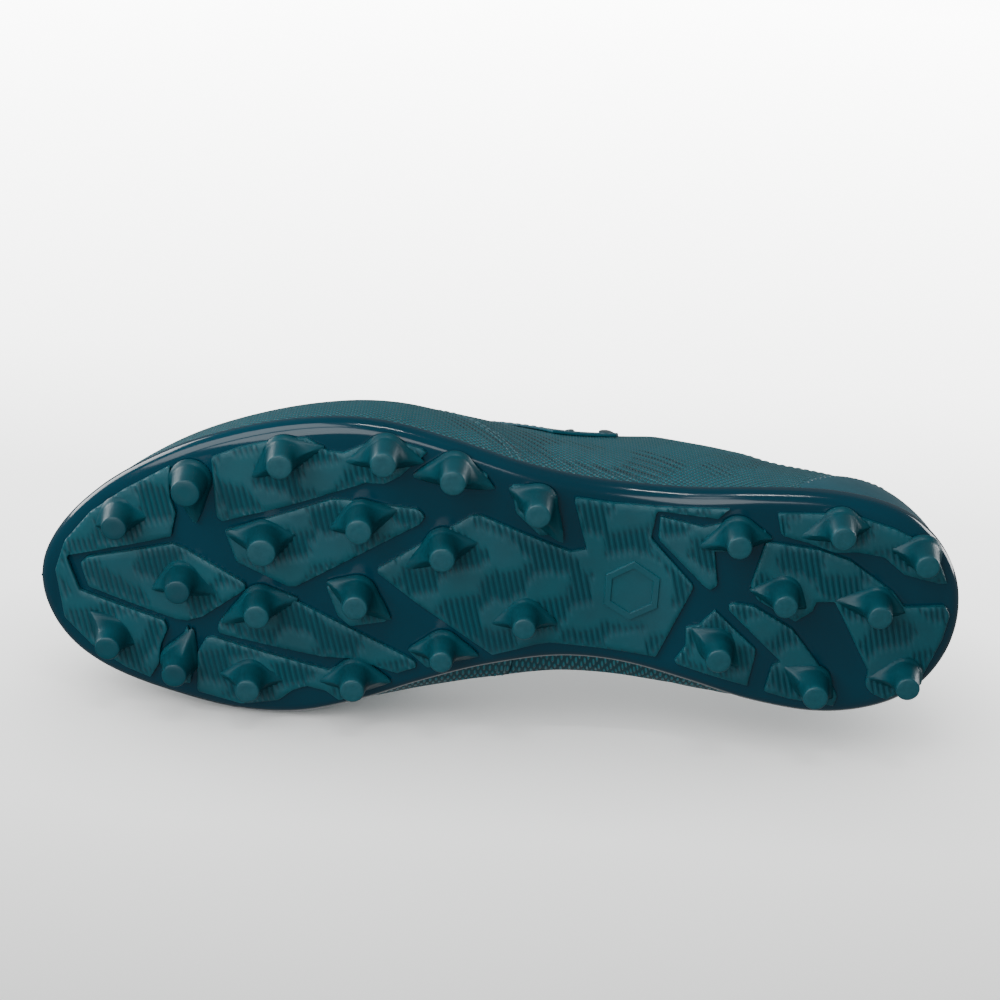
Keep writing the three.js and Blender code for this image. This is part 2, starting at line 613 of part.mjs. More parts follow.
// Textile lining, in a front and a rear part.
const liningIn = backingIn + backingThickness + seam;
const lining = wall(liningIn, liningIn + liningThickness, footFloor).subtract(throat).subtract(openTop)
  .subtract(holes);
const frontSide = side([[-200, -20], [-1, -20], [-1, 200], [-200, 200]]);
const rearSide = side([[-0.7, -20], [200, -20], [200, 200], [-0.7, 200]]);
piece("vamp_lining", mainBody(lining.intersect(frontSide)), colours.lining, 0.95);
piece("quarter_lining", mainBody(lining.intersect(rearSide)), colours.lining, 0.95);

// Padded band inside the collar.
const paddingIn = liningIn + liningThickness + seam;
const paddingBand = layer((x) => collarCurve(x) - paddingDepth, (x) => collarCurve(x) + 1.2);
const paddingSide = side([[60, 0], [200, 0], [200, 200], [60, 200]]);
const padding = wall(paddingIn, paddingIn + paddingThickness, footFloor).intersect(paddingBand);
piece("collar_padding", mainBody(padding.intersect(paddingSide)), colours.collar, 0.95);

// Overlays on the outer skin.
const overRim = above((x) => rimTop(x) + seam);
const overlay = form(-(overlayThickness + seam)).subtract(form(-seam)).intersect(overRim);
const crestZ = (x) => featherZ(x) + crestHeight(uAt(x));
const eyestayEnd = side([[-200, 0], [28, 0], [47, 200], [-200, 200]]);
const eyestayArea = throatRegion(eyestayWidth).intersect(eyestayEnd)
  .intersect(above((x) => crestZ(x) - eyestayDrop));
const eyestay = overlay.intersect(eyestayArea).subtract(throat).subtract(openTop).subtract(holes);
piece("eyestay", mainBody(eyestay), colours.overlay, 0.4);
const heelRegion = side([[84, 0], [90, 22], [100, 38], [116, 50], [150, 57], [200, 57], [200, 0]]);
piece("heel_overlay", mainBody(overlay.intersect(heelRegion)), colours.overlay, 0.5);

// Heel loop: a strap up the back seam that turns over into a loop above the collar.
const tabY = 5 * sy;
const tabPlan = [[80, -1], [200, -1], [200, 1], [80, 1]].map(
  ([x, edge]) => new THREE.Vector2(x * sx, tabY + (edge * tabWidth) / 2));
const backX = (z) => {
  let best = formPoint(1, Math.PI / 2, 0);
  for (let i = 0; i <= 60; i++) {
    const point = formPoint(1, (Math.PI * i) / 120, 0);
    if (Math.abs(point.z - z) < Math.abs(best.z - z)) best = point;
  }
  return best.x;
};
const tabTopZ = collarCurve(133 * sx);
const tabOut = seam + tabThickness;
const tabFoot = 58 * upperHeight;
const tabBand = upright(new THREE.Shape(tabPlan), tabFoot, tabTopZ + 2.5);
const backSide = side([[128, 0], [200, 0], [200, 200], [128, 200]]);
const strap = form(-tabOut).subtract(form(-seam)).intersect(tabBand).intersect(backSide);
const loopX = backX(tabTopZ) + tabOut - tabLoop;
const ring = new THREE.Shape();
ring.absarc(loopX, tabTopZ + 2, tabLoop, 0, Math.PI, false);
ring.lineTo(loopX - tabLoop, tabTopZ + 1.6);
ring.lineTo(loopX - tabLoop + tabThickness, tabTopZ + 1.6);
ring.absarc(loopX, tabTopZ + 2, tabLoop - tabThickness, Math.PI, 0, true);
const loop = sideways(ring, tabY - tabWidth / 2, tabY + tabWidth / 2);
piece("heel_loop", mainBody(strap.add(loop)), colours.overlay, 0.8);

// ---- lace and tongue ----
const laceGap = 1.9; // room between the lace and what it runs past
const underLace = liningIn + liningThickness + laceGap + laceRadius; // lace under the throat's edge
const overLace = -(overlayThickness + seam + laceGap + laceRadius); // lace lying on the eyestay
function strand(points) {
  const path = new THREE.CatmullRomCurve3(points, false, "centripetal");
  const section = new THREE.Shape();
  section.absarc(0, 0, laceRadius, 0, 2 * Math.PI);
  const settings = { extrudePath: path, steps: 9, bevelEnabled: false, curveSegments: 3 };
  return solid(new THREE.ExtrudeGeometry(section, settings));
}
const strands = [];
const lastPair = eyeletPairs - 1;
// Over the skin from an eyelet to the edge of the throat.
const laceOut = (i, sign) => [
  eyelet(i, sign, 2).point, eyelet(i, sign, overLace + 0.8).point,
  eyelet(i + 0.05, sign, overLace, 2.5).point,
  eyelet(i + 0.2, sign, overLace + 0.4, eyeletInset + 1).point,
];
for (const sign of [-1, 1])
  for (let i = 0; i < lastPair; i++) {
    const middleX = eyeletX(i + 0.5);
    strands.push(strand([
      ...laceOut(i, sign), underSkin(middleX, crestY(middleX), 1.8).point,
      eyelet(i + 0.75, -sign, underLace - 1.2, eyeletInset + 2).point,
      eyelet(i + 0.9, -sign, underLace, eyeletInset - 2).point, eyelet(i + 1, -sign, underLace, 0.5).point,
      eyelet(i + 1, -sign, 2).point,
    ]));
  }
for (const i of [0, lastPair]) {
  const middleX = eyeletX(i);
  const crossing = underSkin(middleX, crestY(middleX), 0.5).point;
  strands.push(strand([...laceOut(i, -1), crossing, ...laceOut(i, 1).reverse()]));
}
piece("lace", mainBody(joined(strands)), colours.lace, 0.85);

const tongueIn = underLace + laceRadius + laceGap + seam;
const tonguePlan = [
  [-51, -12], [-47, -15], [-20, -19], [10, -17.5], [36, -15], [50, -12], [56, -7], [57, 0],
  [56, 7], [50, 12], [36, 15], [10, 17.5], [-20, 19], [-47, 15], [-51, 12],
];
const tongueRoot = [[-50, -11], [-44, -11], [-44, 11], [-50, 11]];
const tongueDrop = 27; // how far the tongue's sides reach down from the crest
function tongueRegion(trim) {
  const points = tonguePlan.map(([x, y]) => {
    const reach = Math.hypot(x - 5, y);
    return new THREE.Vector2((x - (trim * (x - 5)) / reach) * sx, crestY(x * sx) + y - (trim * y) / reach);
  });
  return upright(new THREE.Shape(points)).intersect(above((x) => crestZ(x) - tongueDrop + trim));
}
// The tongue's root: a seam allowance that stands up to the vamp lining, where the tongue is sewn in.
const rootBand = upright(outline(tongueRoot.map(([x, y]) => [x, y + crestY(x * sx) / sy]), 2));
const root = form(paddingIn).subtract(form(tongueIn + 1)).intersect(rootBand);
const tongueBody = form(tongueIn).subtract(form(tongueIn + tongueThickness)).intersect(tongueRegion(0));
piece("tongue", mainBody(tongueBody.add(root)), colours.soft, 0.85);
const tongueBack = tongueIn + tongueThickness + seam;
const tongueSkin = form(tongueBack).subtract(form(tongueBack + tongueLining)).intersect(tongueRegion(1.5));
piece("tongue_lining", mainBody(tongueSkin), colours.lining, 0.95);

// Bring the ground and the middle of the shoe's box to the origin.
const box = new THREE.Box3().setFromObject(group);
const middle = box.getCenter(new THREE.Vector3());
group.position.set(-middle.x, -middle.y, -box.min.z);

export default group;
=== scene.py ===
import math

import bmesh
import bpy
import numpy as np
from mathutils import Matrix, Vector


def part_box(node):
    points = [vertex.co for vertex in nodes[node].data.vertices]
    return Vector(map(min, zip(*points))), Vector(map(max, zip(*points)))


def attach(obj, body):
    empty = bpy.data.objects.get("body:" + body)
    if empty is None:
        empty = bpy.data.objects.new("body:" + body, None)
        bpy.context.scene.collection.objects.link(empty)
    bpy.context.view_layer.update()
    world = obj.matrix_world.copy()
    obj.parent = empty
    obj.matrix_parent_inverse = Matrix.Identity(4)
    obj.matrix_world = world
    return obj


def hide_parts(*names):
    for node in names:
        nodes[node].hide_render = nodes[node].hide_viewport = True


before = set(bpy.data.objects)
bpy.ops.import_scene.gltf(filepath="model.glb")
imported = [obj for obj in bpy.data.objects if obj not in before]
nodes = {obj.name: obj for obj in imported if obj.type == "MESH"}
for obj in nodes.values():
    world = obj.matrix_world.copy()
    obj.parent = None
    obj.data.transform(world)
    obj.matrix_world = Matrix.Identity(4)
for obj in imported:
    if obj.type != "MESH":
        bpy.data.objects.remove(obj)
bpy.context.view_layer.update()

# Soccer cleat, left shoe. Lengths below are millimetres, and place() turns them into metres in the frame.
# The toe points to -X, the outer side of the foot is -Y, the ground is at height 0.

# The foot-shaped form that every layer follows.
last = {
    "length": 289,
    "toeX": -146,
    "planMiddle": (-1.5, 2.85),  # middle of the sole plate's box in these tables
    "lateralEdge": [
        (-146, 16), (-142, 3), (-132, -10), (-117, -23), (-98, -34.5), (-76, -42.8), (-56, -46.6),
        (-38, -46.4), (-18, -42), (5, -35.5), (28, -31), (52, -30), (76, -32.3), (100, -32.7),
        (119, -29), (132, -20.5), (140.5, -8), (143, 5),
    ],
    "medialEdge": [
        (-146, 16), (-143.5, 27.5), (-135, 38), (-121, 45), (-102, 49.8), (-82, 52.8), (-62, 52),
        (-42, 46), (-24, 38.3), (-4, 31), (16, 26.8), (36, 27.5), (60, 32), (84, 37.6), (103, 39.6),
        (119, 36.8), (132.5, 29.5), (140.5, 18), (143, 5),
    ],
    "crestLine": [
        (-146, 0), (-142.5, 14), (-138, 20), (-130, 26.5), (-115, 34), (-95, 40.5), (-70, 46),
        (-45, 52.5), (-20, 61), (0, 69), (20, 76), (38, 83.5), (50, 89), (62, 89), (75, 84), (90, 80),
        (105, 79), (125, 79), (143, 79),
    ],
    "squareness": [
        (-146, 2.7), (-60, 2.7), (-20, 2.5), (20, 2.35), (45, 2.25), (75, 1.95), (100, 1.6), (143, 1.5),
    ],
    "collarLine": [
        (20, 112), (34, 96), (46, 84), (60, 73), (76, 65), (92, 62), (108, 64.5), (121, 70), (131, 77),
        (150, 88),
    ],
    "sideSwell": 0.05,
    "heelLean": 8,
    "heelLeanHeight": 60,
    "plateBottom": 12.4,  # underside of the plate above the ground, at the ball
    "plateThickness": 1.8,
    "toeSpring": 11,
    "archLift": 3,
    "heelLift": 2,
    "seam": 0.3,
    "rimHeight": 6,
}
mm = 0.001
plateLow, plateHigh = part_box("outsole_plate")
shiftX = (plateLow.x + plateHigh.x) / 2 / mm - last["planMiddle"][0]
shiftY = (plateLow.y + plateHigh.y) / 2 / mm - last["planMiddle"][1]


def place(x, y, z):
    return Vector(((x + shiftX) * mm, (y + shiftY) * mm, z * mm))


def curveThrough(pairs):
    points = np.array(pairs, float)
    ends = np.vstack([points[0], points, points[-1]])
    t = np.linspace(0, len(points) - 1, 401)
    i = np.minimum(t.astype(int), len(points) - 2)
    w = (t - i)[:, None]
    before, a, b, after = ends[i], ends[i + 1], ends[i + 2], ends[i + 3]
    leave, arrive = (b - before) / 2, (after - a) / 2
    line = (2 * a - 2 * b + leave + arrive) * w**3 + (3 * b - 3 * a - 2 * leave - arrive) * w**2 + leave * w + a
    return lambda x: np.interp(x, line[:, 0], line[:, 1])


def ease(v):
    c = np.clip(v, 0, 1)
    return c * c * (3 - 2 * c)


# Stations run from the toe (0) to the heel (1), close together at both ends.
def xAt(u):
    return last["toeX"] + last["length"] * (1 - np.cos(np.pi * u)) / 2


def stationOf(x):
    share = np.clip((np.asarray(x, float) - last["toeX"]) / last["length"], 0, 1)
    return np.arccos(1 - 2 * share) / np.pi


def byStation(pairs):
    return curveThrough([(float(stationOf(x)), v) for x, v in pairs])


lateralY = byStation(last["lateralEdge"])
medialY = byStation(last["medialEdge"])
crestHeight = byStation(last["crestLine"])
squarenessAt = byStation(last["squareness"])
collarZ = curveThrough(last["collarLine"])
formMiddle = last["toeX"] + last["length"] / 2


def plateZ(x):
    toe = last["toeSpring"] * np.clip((-55 - x) / 89, 0, 1) ** 2
    arch = np.where((x > 0) & (x < 80), last["archLift"] * np.sin(np.pi * np.clip(x, 0, 80) / 80) ** 2, 0)
    heel = last["heelLift"] * np.clip((x - 118) / 26, 0, 1) ** 2
    return last["plateBottom"] + toe + arch + heel


def featherZ(x):
    return plateZ(x) + last["plateThickness"] + last["seam"]


def rimTopZ(x):
    return plateZ(x) + last["rimHeight"] + 1.5 * ease((x - 60) / 50)


def crestY(x):
    u = stationOf(x)
    return (medialY(u) + lateralY(u)) / 2


def crestZ(x):
    return featherZ(x) + crestHeight(stationOf(x))


def sizesAt(u, inset):
    half = (medialY(u) - lateralY(u)) / 2
    crest = crestHeight(u)
    halfIn = np.maximum(0, half - inset * np.minimum(1, half / 30))
    crestIn = np.maximum(0, crest - inset * np.minimum(1, crest / 25))
    return halfIn, crestIn, 2 / squarenessAt(u)


def leanAt(x, rise):
    return last["heelLean"] * np.clip(rise / last["heelLeanHeight"], 0, 1) ** 2 * ease((x - 50) / 90)


# A point of the form at station u and angle phi (0 lateral edge, pi medial edge), moved in by inset.
def formPoint(u, phi, inset):
    halfIn, crestIn, power = sizesAt(u, inset)
    x = formMiddle + (xAt(u) - formMiddle) * (1 - 2 * inset / last["length"])
    c = np.cos(phi)
    swell = 1 + last["sideSwell"] * np.sin(2 * phi) ** 2
    y = (medialY(u) + lateralY(u)) / 2 - np.sign(c) * halfIn * np.abs(c) ** power * swell
    rise = crestIn * np.abs(np.sin(phi)) ** power
    return x - leanAt(x, rise), y, featherZ(xAt(u)) + rise


# The half width of the form at station u and height z.
def halfAt(u, inset, z):
    halfIn, crestIn, power = sizesAt(u, inset)
    rise = np.clip(z - featherZ(xAt(u)), 0, None)
    s = np.clip(rise / np.maximum(crestIn, 1e-6), 0, 1) ** (1 / power)
    c = np.sqrt(1 - s**2)
    return halfIn * c**power * (1 + last["sideSwell"] * (2 * s * c) ** 2)


# The point on one side of the form (-1 lateral, 1 medial) at length x and height z.
def sideAt(x, z, sign, inset=0.0):
    lean = leanAt(x, z - featherZ(x))
    u = stationOf(formMiddle + (x + lean - formMiddle) / (1 - 2 * inset / last["length"]))
    half = halfAt(u, inset, z)
    return Vector((float(x), float((medialY(u) + lateralY(u)) / 2 + sign * half), float(z)))


# The height of the form over a plan point.
def topZ(x, y, inset=0.0):
    u = stationOf(x)
    halfIn, crestIn, power = sizesAt(u, inset)
    share = np.clip(np.abs(y - crestY(x)) / np.maximum(halfIn, 1e-6), 0, 1.04)
    c = np.clip(share, 0, 1) ** (1 / power)
    for _ in range(5):
        s = np.sqrt(1 - c**2)
        c = np.clip(share / (1 + last["sideSwell"] * (2 * s * c) ** 2), 0, 1) ** (1 / power)
    return featherZ(x) + crestIn * np.sqrt(1 - c**2) ** power


def underSkin(x, y, depth):
    h = 0.5
    normal = Vector((
        float(topZ(x - h, y) - topZ(x + h, y)) / (2 * h),
        float(topZ(x, y - h) - topZ(x, y + h)) / (2 * h),
        1,
    )).normalized()
    return Vector((float(x), float(y), float(topZ(x, y)))) - normal * depth


throat = {"front": -42, "end": 68, "halfWidth": 11, "spread": 4}


def throatHalf(x):
    return throat["halfWidth"] + throat["spread"] * np.clip((x - throat["front"]) / 80, 0, 1)


# Below zero inside the lace opening widened by extra, in plan.
def throatLevel(x, y, extra):
    turn = throat["front"] + throatHalf(throat["front"])
    radius = throatHalf(turn) + extra
    nose = np.hypot(x - turn, y - crestY(turn)) - radius
    side = np.abs(y - crestY(x)) - throatHalf(x) - extra
    return np.maximum(np.where(x < turn, nose, side), x - throat["end"])


# The upper swells past the waist of the sole on the inner side of the arch.
arch = {"swell": 13, "middle": 18, "reach": 125, "from": 3, "full": 12, "hold": 24, "until": 58, "limit": 53.5}


def archSwell(x, y, z):
    window = np.cos(np.pi / 2 * np.clip((x - arch["middle"]) / arch["reach"], -1, 1)) ** 2
    most = np.clip(arch["limit"] - medialY(stationOf(x)), 0, None)
    height = z - featherZ(x)
    hump = ease((height - arch["from"]) / (arch["full"] - arch["from"]))
    hump = hump * ease((arch["until"] - height) / (arch["until"] - arch["hold"]))
    inner = ease((y - crestY(x)) / 12)
    return np.minimum(arch["swell"] * window, most) * hump * inner


def swellArch(bm):
    points = readPoints(bm)
    out = archSwell(points[:, 0], points[:, 1], points[:, 2])
    for i, vert in enumerate(bm.verts):
        vert.co.y += out[i]
    return bm


# The seam between vamp and quarters, and the heel overlay's edge, seen from the side.
seamX = curveThrough([(-20, 8), (14, 6), (30, 2.5), (44, -7), (58, -23), (70, -36), (100, -42), (200, -44)])
heelOverlayZ = curveThrough([(80, -12), (86, 10), (92, 25), (101, 38), (116, 49), (150, 57), (200, 60)])


def readPoints(bm):
    return np.array([v.co[:] for v in bm.verts], float).reshape(-1, 3)


# A sheet over the form between two stations and two angles. Each vertex remembers its station and angle.
def formSheet(inset, stations, angles, steps):
    bm = bmesh.new()
    stationLayer = bm.verts.layers.float.new("station")
    angleLayer = bm.verts.layers.float.new("angle")
    bmesh.ops.create_grid(bm, x_segments=steps[0], y_segments=steps[1], size=0.5)
    share = readPoints(bm) + 0.5
    u = stations[0] + share[:, 0] * (stations[1] - stations[0])
    phi = angles[0] + share[:, 1] * (angles[1] - angles[0])
    x, y, z = formPoint(u, phi, inset)
    for i, vert in enumerate(bm.verts):
        vert.co = (x[i], y[i], z[i])
        vert[stationLayer] = u[i]
        vert[angleLayer] = phi[i]
    bmesh.ops.remove_doubles(bm, verts=bm.verts, dist=0.001)
    return bm


# Cuts the sheet along the line where level(x, y, z) is zero and keeps the side below zero.
def cutAlong(bm, level):
    layers = [bm.verts.layers.float[k] for k in ("station", "angle") if k in bm.verts.layers.float]
    points = readPoints(bm)
    values = level(points[:, 0], points[:, 1], points[:, 2])
    values = np.where(np.abs(values) < 1e-5, 1e-5, values)
    value = {vert: float(values[i]) for i, vert in enumerate(bm.verts)}
    fresh = []
    for edge in [e for e in bm.edges if value[e.verts[0]] * value[e.verts[1]] < 0]:
        a, b = edge.verts
        share = value[a] / (value[a] - value[b])
        spot = a.co.lerp(b.co, share)
        mixed = [a[k] + (b[k] - a[k]) * share for k in layers]
        vert = bmesh.utils.edge_split(edge, a, share)[1]
        vert.co = spot
        for k, amount in zip(layers, mixed):
            vert[k] = amount
        value[vert] = 0.0
        fresh.append(vert)
    bmesh.ops.connect_verts(bm, verts=fresh)
    outside = [f for f in bm.faces if sum(value[v] for v in f.verts) > 0]
    bmesh.ops.delete(bm, geom=outside, context="FACES")
    bmesh.ops.remove_doubles(bm, verts=bm.verts, dist=0.02)
    return bm


# A closed piece from a grid of places: spot(i, j) for i along and j round a closed section.
def sweptSolid(along, around, spot, closeEnds=True):
    bm = bmesh.new()
    bmesh.ops.create_grid(bm, x_segments=along, y_segments=around, size=0.5)
    share = readPoints(bm) + 0.5
    for k, vert in enumerate(bm.verts):
        i, j = round(share[k, 0] * along), round(share[k, 1] * around)
        vert.co = spot(i, j % around)
    bmesh.ops.remove_doubles(bm, verts=bm.verts, dist=0.0005)
    if closeEnds:
        rim = [e for e in bm.edges if e.is_boundary]
        if rim:
            bmesh.ops.holes_fill(bm, edges=rim, sides=0)
    bmesh.ops.recalc_face_normals(bm, faces=bm.faces)
    return bm


# A solid that follows the plan of the form. Its section is a list of (share of half width, inset, height).
def lastedSolid(section, stations=150):
    half = [(share, inset, height, -1) for share, inset, height in section]
    back = [(share, inset, height, 1) for share, inset, height in section[-2:0:-1]]
    loop = half + back
    us = np.linspace(0, 1, stations + 1)
    columns = []
    for share, inset, height, sign in loop:
        x = formMiddle + (xAt(us) - formMiddle) * (1 - 2 * inset / last["length"])
        _, crestIn, _ = sizesAt(us, inset)
        z = np.minimum(height(xAt(us)), featherZ(xAt(us)) + crestIn)
        y = (medialY(us) + lateralY(us)) / 2 + sign * share * halfAt(us, inset, z)
        x = x - leanAt(x, np.clip(z - featherZ(xAt(us)), 0, None))
        columns.append(np.stack([x, y, z], axis=1))
    return sweptSolid(stations, len(loop), lambda i, j: columns[j][i])


def addObject(name, data):
    made = bpy.data.objects.new(name, data)
    bpy.context.scene.collection.objects.link(made)
    return made


def addModifier(piece, name, kind, settings):
    modifier = piece.modifiers.new(name, kind)
    for key, value in settings.items():
        setattr(modifier, key, value)


def roundEdges(piece, widthMm):
    addModifier(piece, "edge", "BEVEL", {
        "width": widthMm * mm, "segments": 2, "limit_method": "ANGLE", "angle_limit": math.radians(50)})


# Adds the mesh of another bmesh to this one.
def joinTo(bm, other):
    scratch = bpy.data.meshes.new("scratch")
    other.to_mesh(scratch)
    other.free()
    bm.from_mesh(scratch)
    bpy.data.meshes.remove(scratch)


# Gives every corner a place on the flat map, from a function of its vertex, in millimetres.
def layMap(bm, flatPlace):
    uvLayer = bm.loops.layers.uv.new("surface")
    for face in bm.faces:
        for loop in face.loops:
            along, across = flatPlace(loop.vert)
            loop[uvLayer].uv = (along * mm, across * mm)
    return bm


girthShare = 1.804  # length round the form from edge to edge, over its half width plus its height


# Turns a bmesh in millimetres into a finished object that rides on its body.
def finishPiece(name, bm, material, slot, body="shoe", stands=(), sharp=40, wall=0.0, edge=0.0):
    station = bm.verts.layers.float.get("station")
    if station is not None:
        angle = bm.verts.layers.float["angle"]

        def overForm(vert):
            halfIn, crestIn, _ = sizesAt(vert[station], 0)
            return float(xAt(vert[station])), girthShare * float(halfIn + crestIn) * (vert[angle] / math.pi - 0.5)
        layMap(bm, overForm)
    for vert in bm.verts:
        vert.co = place(*vert.co)
    for face in bm.faces:
        face.smooth = True
    mesh = bpy.data.meshes.new(name)
    bm.to_mesh(mesh)
    bm.free()
    mesh.set_sharp_from_angle(angle=math.radians(sharp))
    mesh.materials.append(material)
    piece = addObject(name, mesh)
    if wall:
        addModifier(piece, "wall", "SOLIDIFY", {"thickness": wall * mm, "offset": -1, "use_even_offset": True})
    if edge:
        roundEdges(piece, edge)
    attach(piece, body)
    if stands:
        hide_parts(*stands)
    return piece


def linear(hexColour):
    channels = [int(hexColour[i:i + 2], 16) / 255 for i in (1, 3, 5)]
    return [c / 12.92 if c <= 0.04045 else ((c + 0.055) / 1.055) ** 2.4 for c in channels] + [1.0]


def perSize(sizeMm):
    return 1000 / sizeMm  # texture scale that gives features of this many millimetres


def addNode(tree, kind, settings=None, inputs=None):
    node = tree.nodes.new("ShaderNode" + kind)
    for key, value in (settings or {}).items():
        setattr(node, key, value)
    for key, value in (inputs or {}).items():
        if isinstance(value, bpy.types.NodeSocket):
            tree.links.new(value, node.inputs[key])
        else:
            node.inputs[key].default_value = value
    return node


def startMaterial(name, settings):
    material = bpy.data.materials.new(name)
    material.use_nodes = True
    tree = material.node_tree
    shader = tree.nodes["Principled BSDF"]
    for key, value in settings.items():
        shader.inputs[key].default_value = value
    return material, tree, shader


# Two close colours mixed by noise of a real size, so that no area is one flat colour.
def mottle(tree, shader, colour, other, sizeMm, coords, roughness=None):
    noise = addNode(tree, "TexNoise", inputs={"Vector": coords, "Scale": perSize(sizeMm), "Detail": 5.0})
    blend = addNode(tree, "MapRange", inputs={
        "Value": noise.outputs["Fac"], "From Min": 0.35, "From Max": 0.65})
    mix = addNode(tree, "Mix", {"data_type": "RGBA"}, {
        0: blend.outputs[0], 6: linear(colour), 7: linear(other)})
    tree.links.new(mix.outputs[2], shader.inputs["Base Color"])
    if roughness:
        rough = addNode(tree, "MapRange", inputs={
            "Value": noise.outputs["Fac"], "From Min": 0.3, "From Max": 0.7,
            "To Min": roughness[0], "To Max": roughness[1]})
        tree.links.new(rough.outputs[0], shader.inputs["Roughness"])
    return mix


def addBump(tree, shader, height, depthMm, strength=1.0, under=None):
    inputs = {"Height": height, "Distance": depthMm * mm, "Strength": strength}
    if under is not None:
        inputs["Normal"] = under
    bump = addNode(tree, "Bump", inputs=inputs)
    tree.links.new(bump.outputs["Normal"], shader.inputs["Normal"])
    return bump.outputs["Normal"]


def objectCoords(tree):
    return addNode(tree, "TexCoord").outputs["Object"]


def surfaceCoords(tree):
    return addNode(tree, "TexCoord").outputs["UV"]


def grain(tree, coords, sizeMm, detail=3.0):
    return addNode(tree, "TexNoise", inputs={
        "Vector": coords, "Scale": perSize(sizeMm), "Detail": detail}).outputs["Fac"]


# One even finish: two close tones, a spread of roughness and a fine grain.
def evenFinish(name, settings, tones, patchMm, roughness, grainMm, depthMm, strength):
    material, tree, shader = startMaterial(name, {"IOR": 1.5, **settings})
    coords = objectCoords(tree)
    mottle(tree, shader, *tones, patchMm, coords, roughness)
    addBump(tree, shader, grain(tree, coords, grainMm), depthMm, strength)
    return material


# The same polyurethane from a spark-eroded mould: matte, with a fine even grit.
def grittyTpu():
    material, tree, shader = startMaterial("grittyTpu", {"IOR": 1.5, "Roughness": 0.48})
    coords = objectCoords(tree)
    mix = mottle(tree, shader, "#1a6370", "#165a67", 14, coords, (0.42, 0.56))
    # Painted shade: the valleys between the ribs are painted darker, the more so the deeper the rib dips.
    dip = addNode(tree, "Attribute", {"attribute_name": "dip"}).outputs["Fac"]
    valleyShade = addNode(tree, "Mix", {"data_type": "RGBA"}, {
        0: dip, 6: mix.outputs[2], 7: linear("#0f4754")})
    tree.links.new(valleyShade.outputs[2], shader.inputs["Base Color"])
    addBump(tree, shader, grain(tree, coords, 0.5), 0.05, 0.5)
    return material


# Studs come from the same mould as the islands, a little smoother, and their tips are lightly rubbed.
def studTpu():
    material, tree, shader = startMaterial("studTpu", {"IOR": 1.5, "Roughness": 0.38})
    coords = objectCoords(tree)
    mix = mottle(tree, shader, "#125764", "#0f4e5b", 9, coords, (0.33, 0.45))
    height = addNode(tree, "SeparateXYZ", inputs={0: coords}).outputs["Z"]
    tip = addNode(tree, "MapRange", inputs={
        "Value": height, "From Min": 0.0025, "From Max": 0.0005}).outputs[0]
    rubbed = addNode(tree, "Math", {"operation": "MULTIPLY"}, {
        0: tip, 1: grain(tree, coords, 1.6, 6.0)}).outputs[0]
    worn = addNode(tree, "Mix", {"data_type": "RGBA"}, {
        0: rubbed, 6: mix.outputs[2], 7: linear("#2a6a76")})
    tree.links.new(worn.outputs[2], shader.inputs["Base Color"])
    addBump(tree, shader, grain(tree, coords, 0.4), 0.03, 0.5)
    return material


# Staggered round pips, pitch apart, over the surface's own map: 1 on a pip, 0 between.
def pips(tree, coords, pitchMm):
    turned = addNode(tree, "Mapping", inputs={"Vector": coords, "Rotation": (0, 0, math.radians(45))})
    cells = addNode(tree, "TexVoronoi", {"voronoi_dimensions": "2D"}, {
        "Vector": turned.outputs[0], "Scale": perSize(pitchMm), "Randomness": 0.0})
    return addNode(tree, "MapRange", {"interpolation_type": "SMOOTHSTEP"}, {
        "Value": cells.outputs["Distance"], "From Min": 0.42, "From Max": 0.2}).outputs[0]


# Polyurethane-coated microfibre: satin teal, embossed with fine shiny pips, and printed with a dark hatch
# on the sides of the midfoot.
def coatedMicrofibre():
    material, tree, shader = startMaterial("coatedMicrofibre", {"IOR": 1.5, "Roughness": 0.36})
    coords = objectCoords(tree)
    surface = surfaceCoords(tree)
    mix = mottle(tree, shader, "#3a94a3", "#338695", 22, coords)
    dots = pips(tree, surface, 1.35)
    smooth = {"interpolation_type": "SMOOTHSTEP"}
    spot = addNode(tree, "SeparateXYZ", inputs={0: coords})
    stripes = addNode(tree, "TexWave", {"bands_direction": "DIAGONAL"}, {
        "Vector": surface, "Scale": perSize(6.5), "Distortion": 0.0}).outputs["Fac"]
    hatch = addNode(tree, "MapRange", inputs={
        "Value": stripes, "From Min": 0.5, "From Max": 0.75}).outputs[0]
    patches = addNode(tree, "MapRange", smooth, {
        "Value": grain(tree, coords, 26, 2.0), "From Min": 0.42, "From Max": 0.55}).outputs[0]
    parts = [patches]
    for axis, middle, gone, full in (("X", 0.035, 0.065, 0.045), ("Z", 0.042, 0.017, 0.009)):
        shifted = addNode(tree, "Math", {"operation": "SUBTRACT"}, {0: spot.outputs[axis], 1: middle})
        away = addNode(tree, "Math", {"operation": "ABSOLUTE"}, {0: shifted.outputs[0]})
        parts.append(addNode(tree, "MapRange", smooth, {
            "Value": away.outputs[0], "From Min": gone, "From Max": full}).outputs[0])
    for part in parts:
        hatch = addNode(tree, "Math", {"operation": "MULTIPLY"}, {0: hatch, 1: part}).outputs[0]
    printed = addNode(tree, "Mix", {"data_type": "RGBA"}, {
        0: hatch, 6: mix.outputs[2], 7: linear("#0f2c35")})
    between = addNode(tree, "Mix", {"data_type": "RGBA"}, {
        0: dots, 6: linear("#17505c"), 7: printed.outputs[2]})
    tree.links.new(between.outputs[2], shader.inputs["Base Color"])
    gloss = addNode(tree, "MapRange", inputs={"Value": dots, "To Min": 0.55, "To Max": 0.2}).outputs[0]
    tree.links.new(gloss, shader.inputs["Roughness"])
    fine = addBump(tree, shader, grain(tree, coords, 0.6), 0.03, 0.4)
    addBump(tree, shader, dots, 0.28, 0.9, fine)
    return material


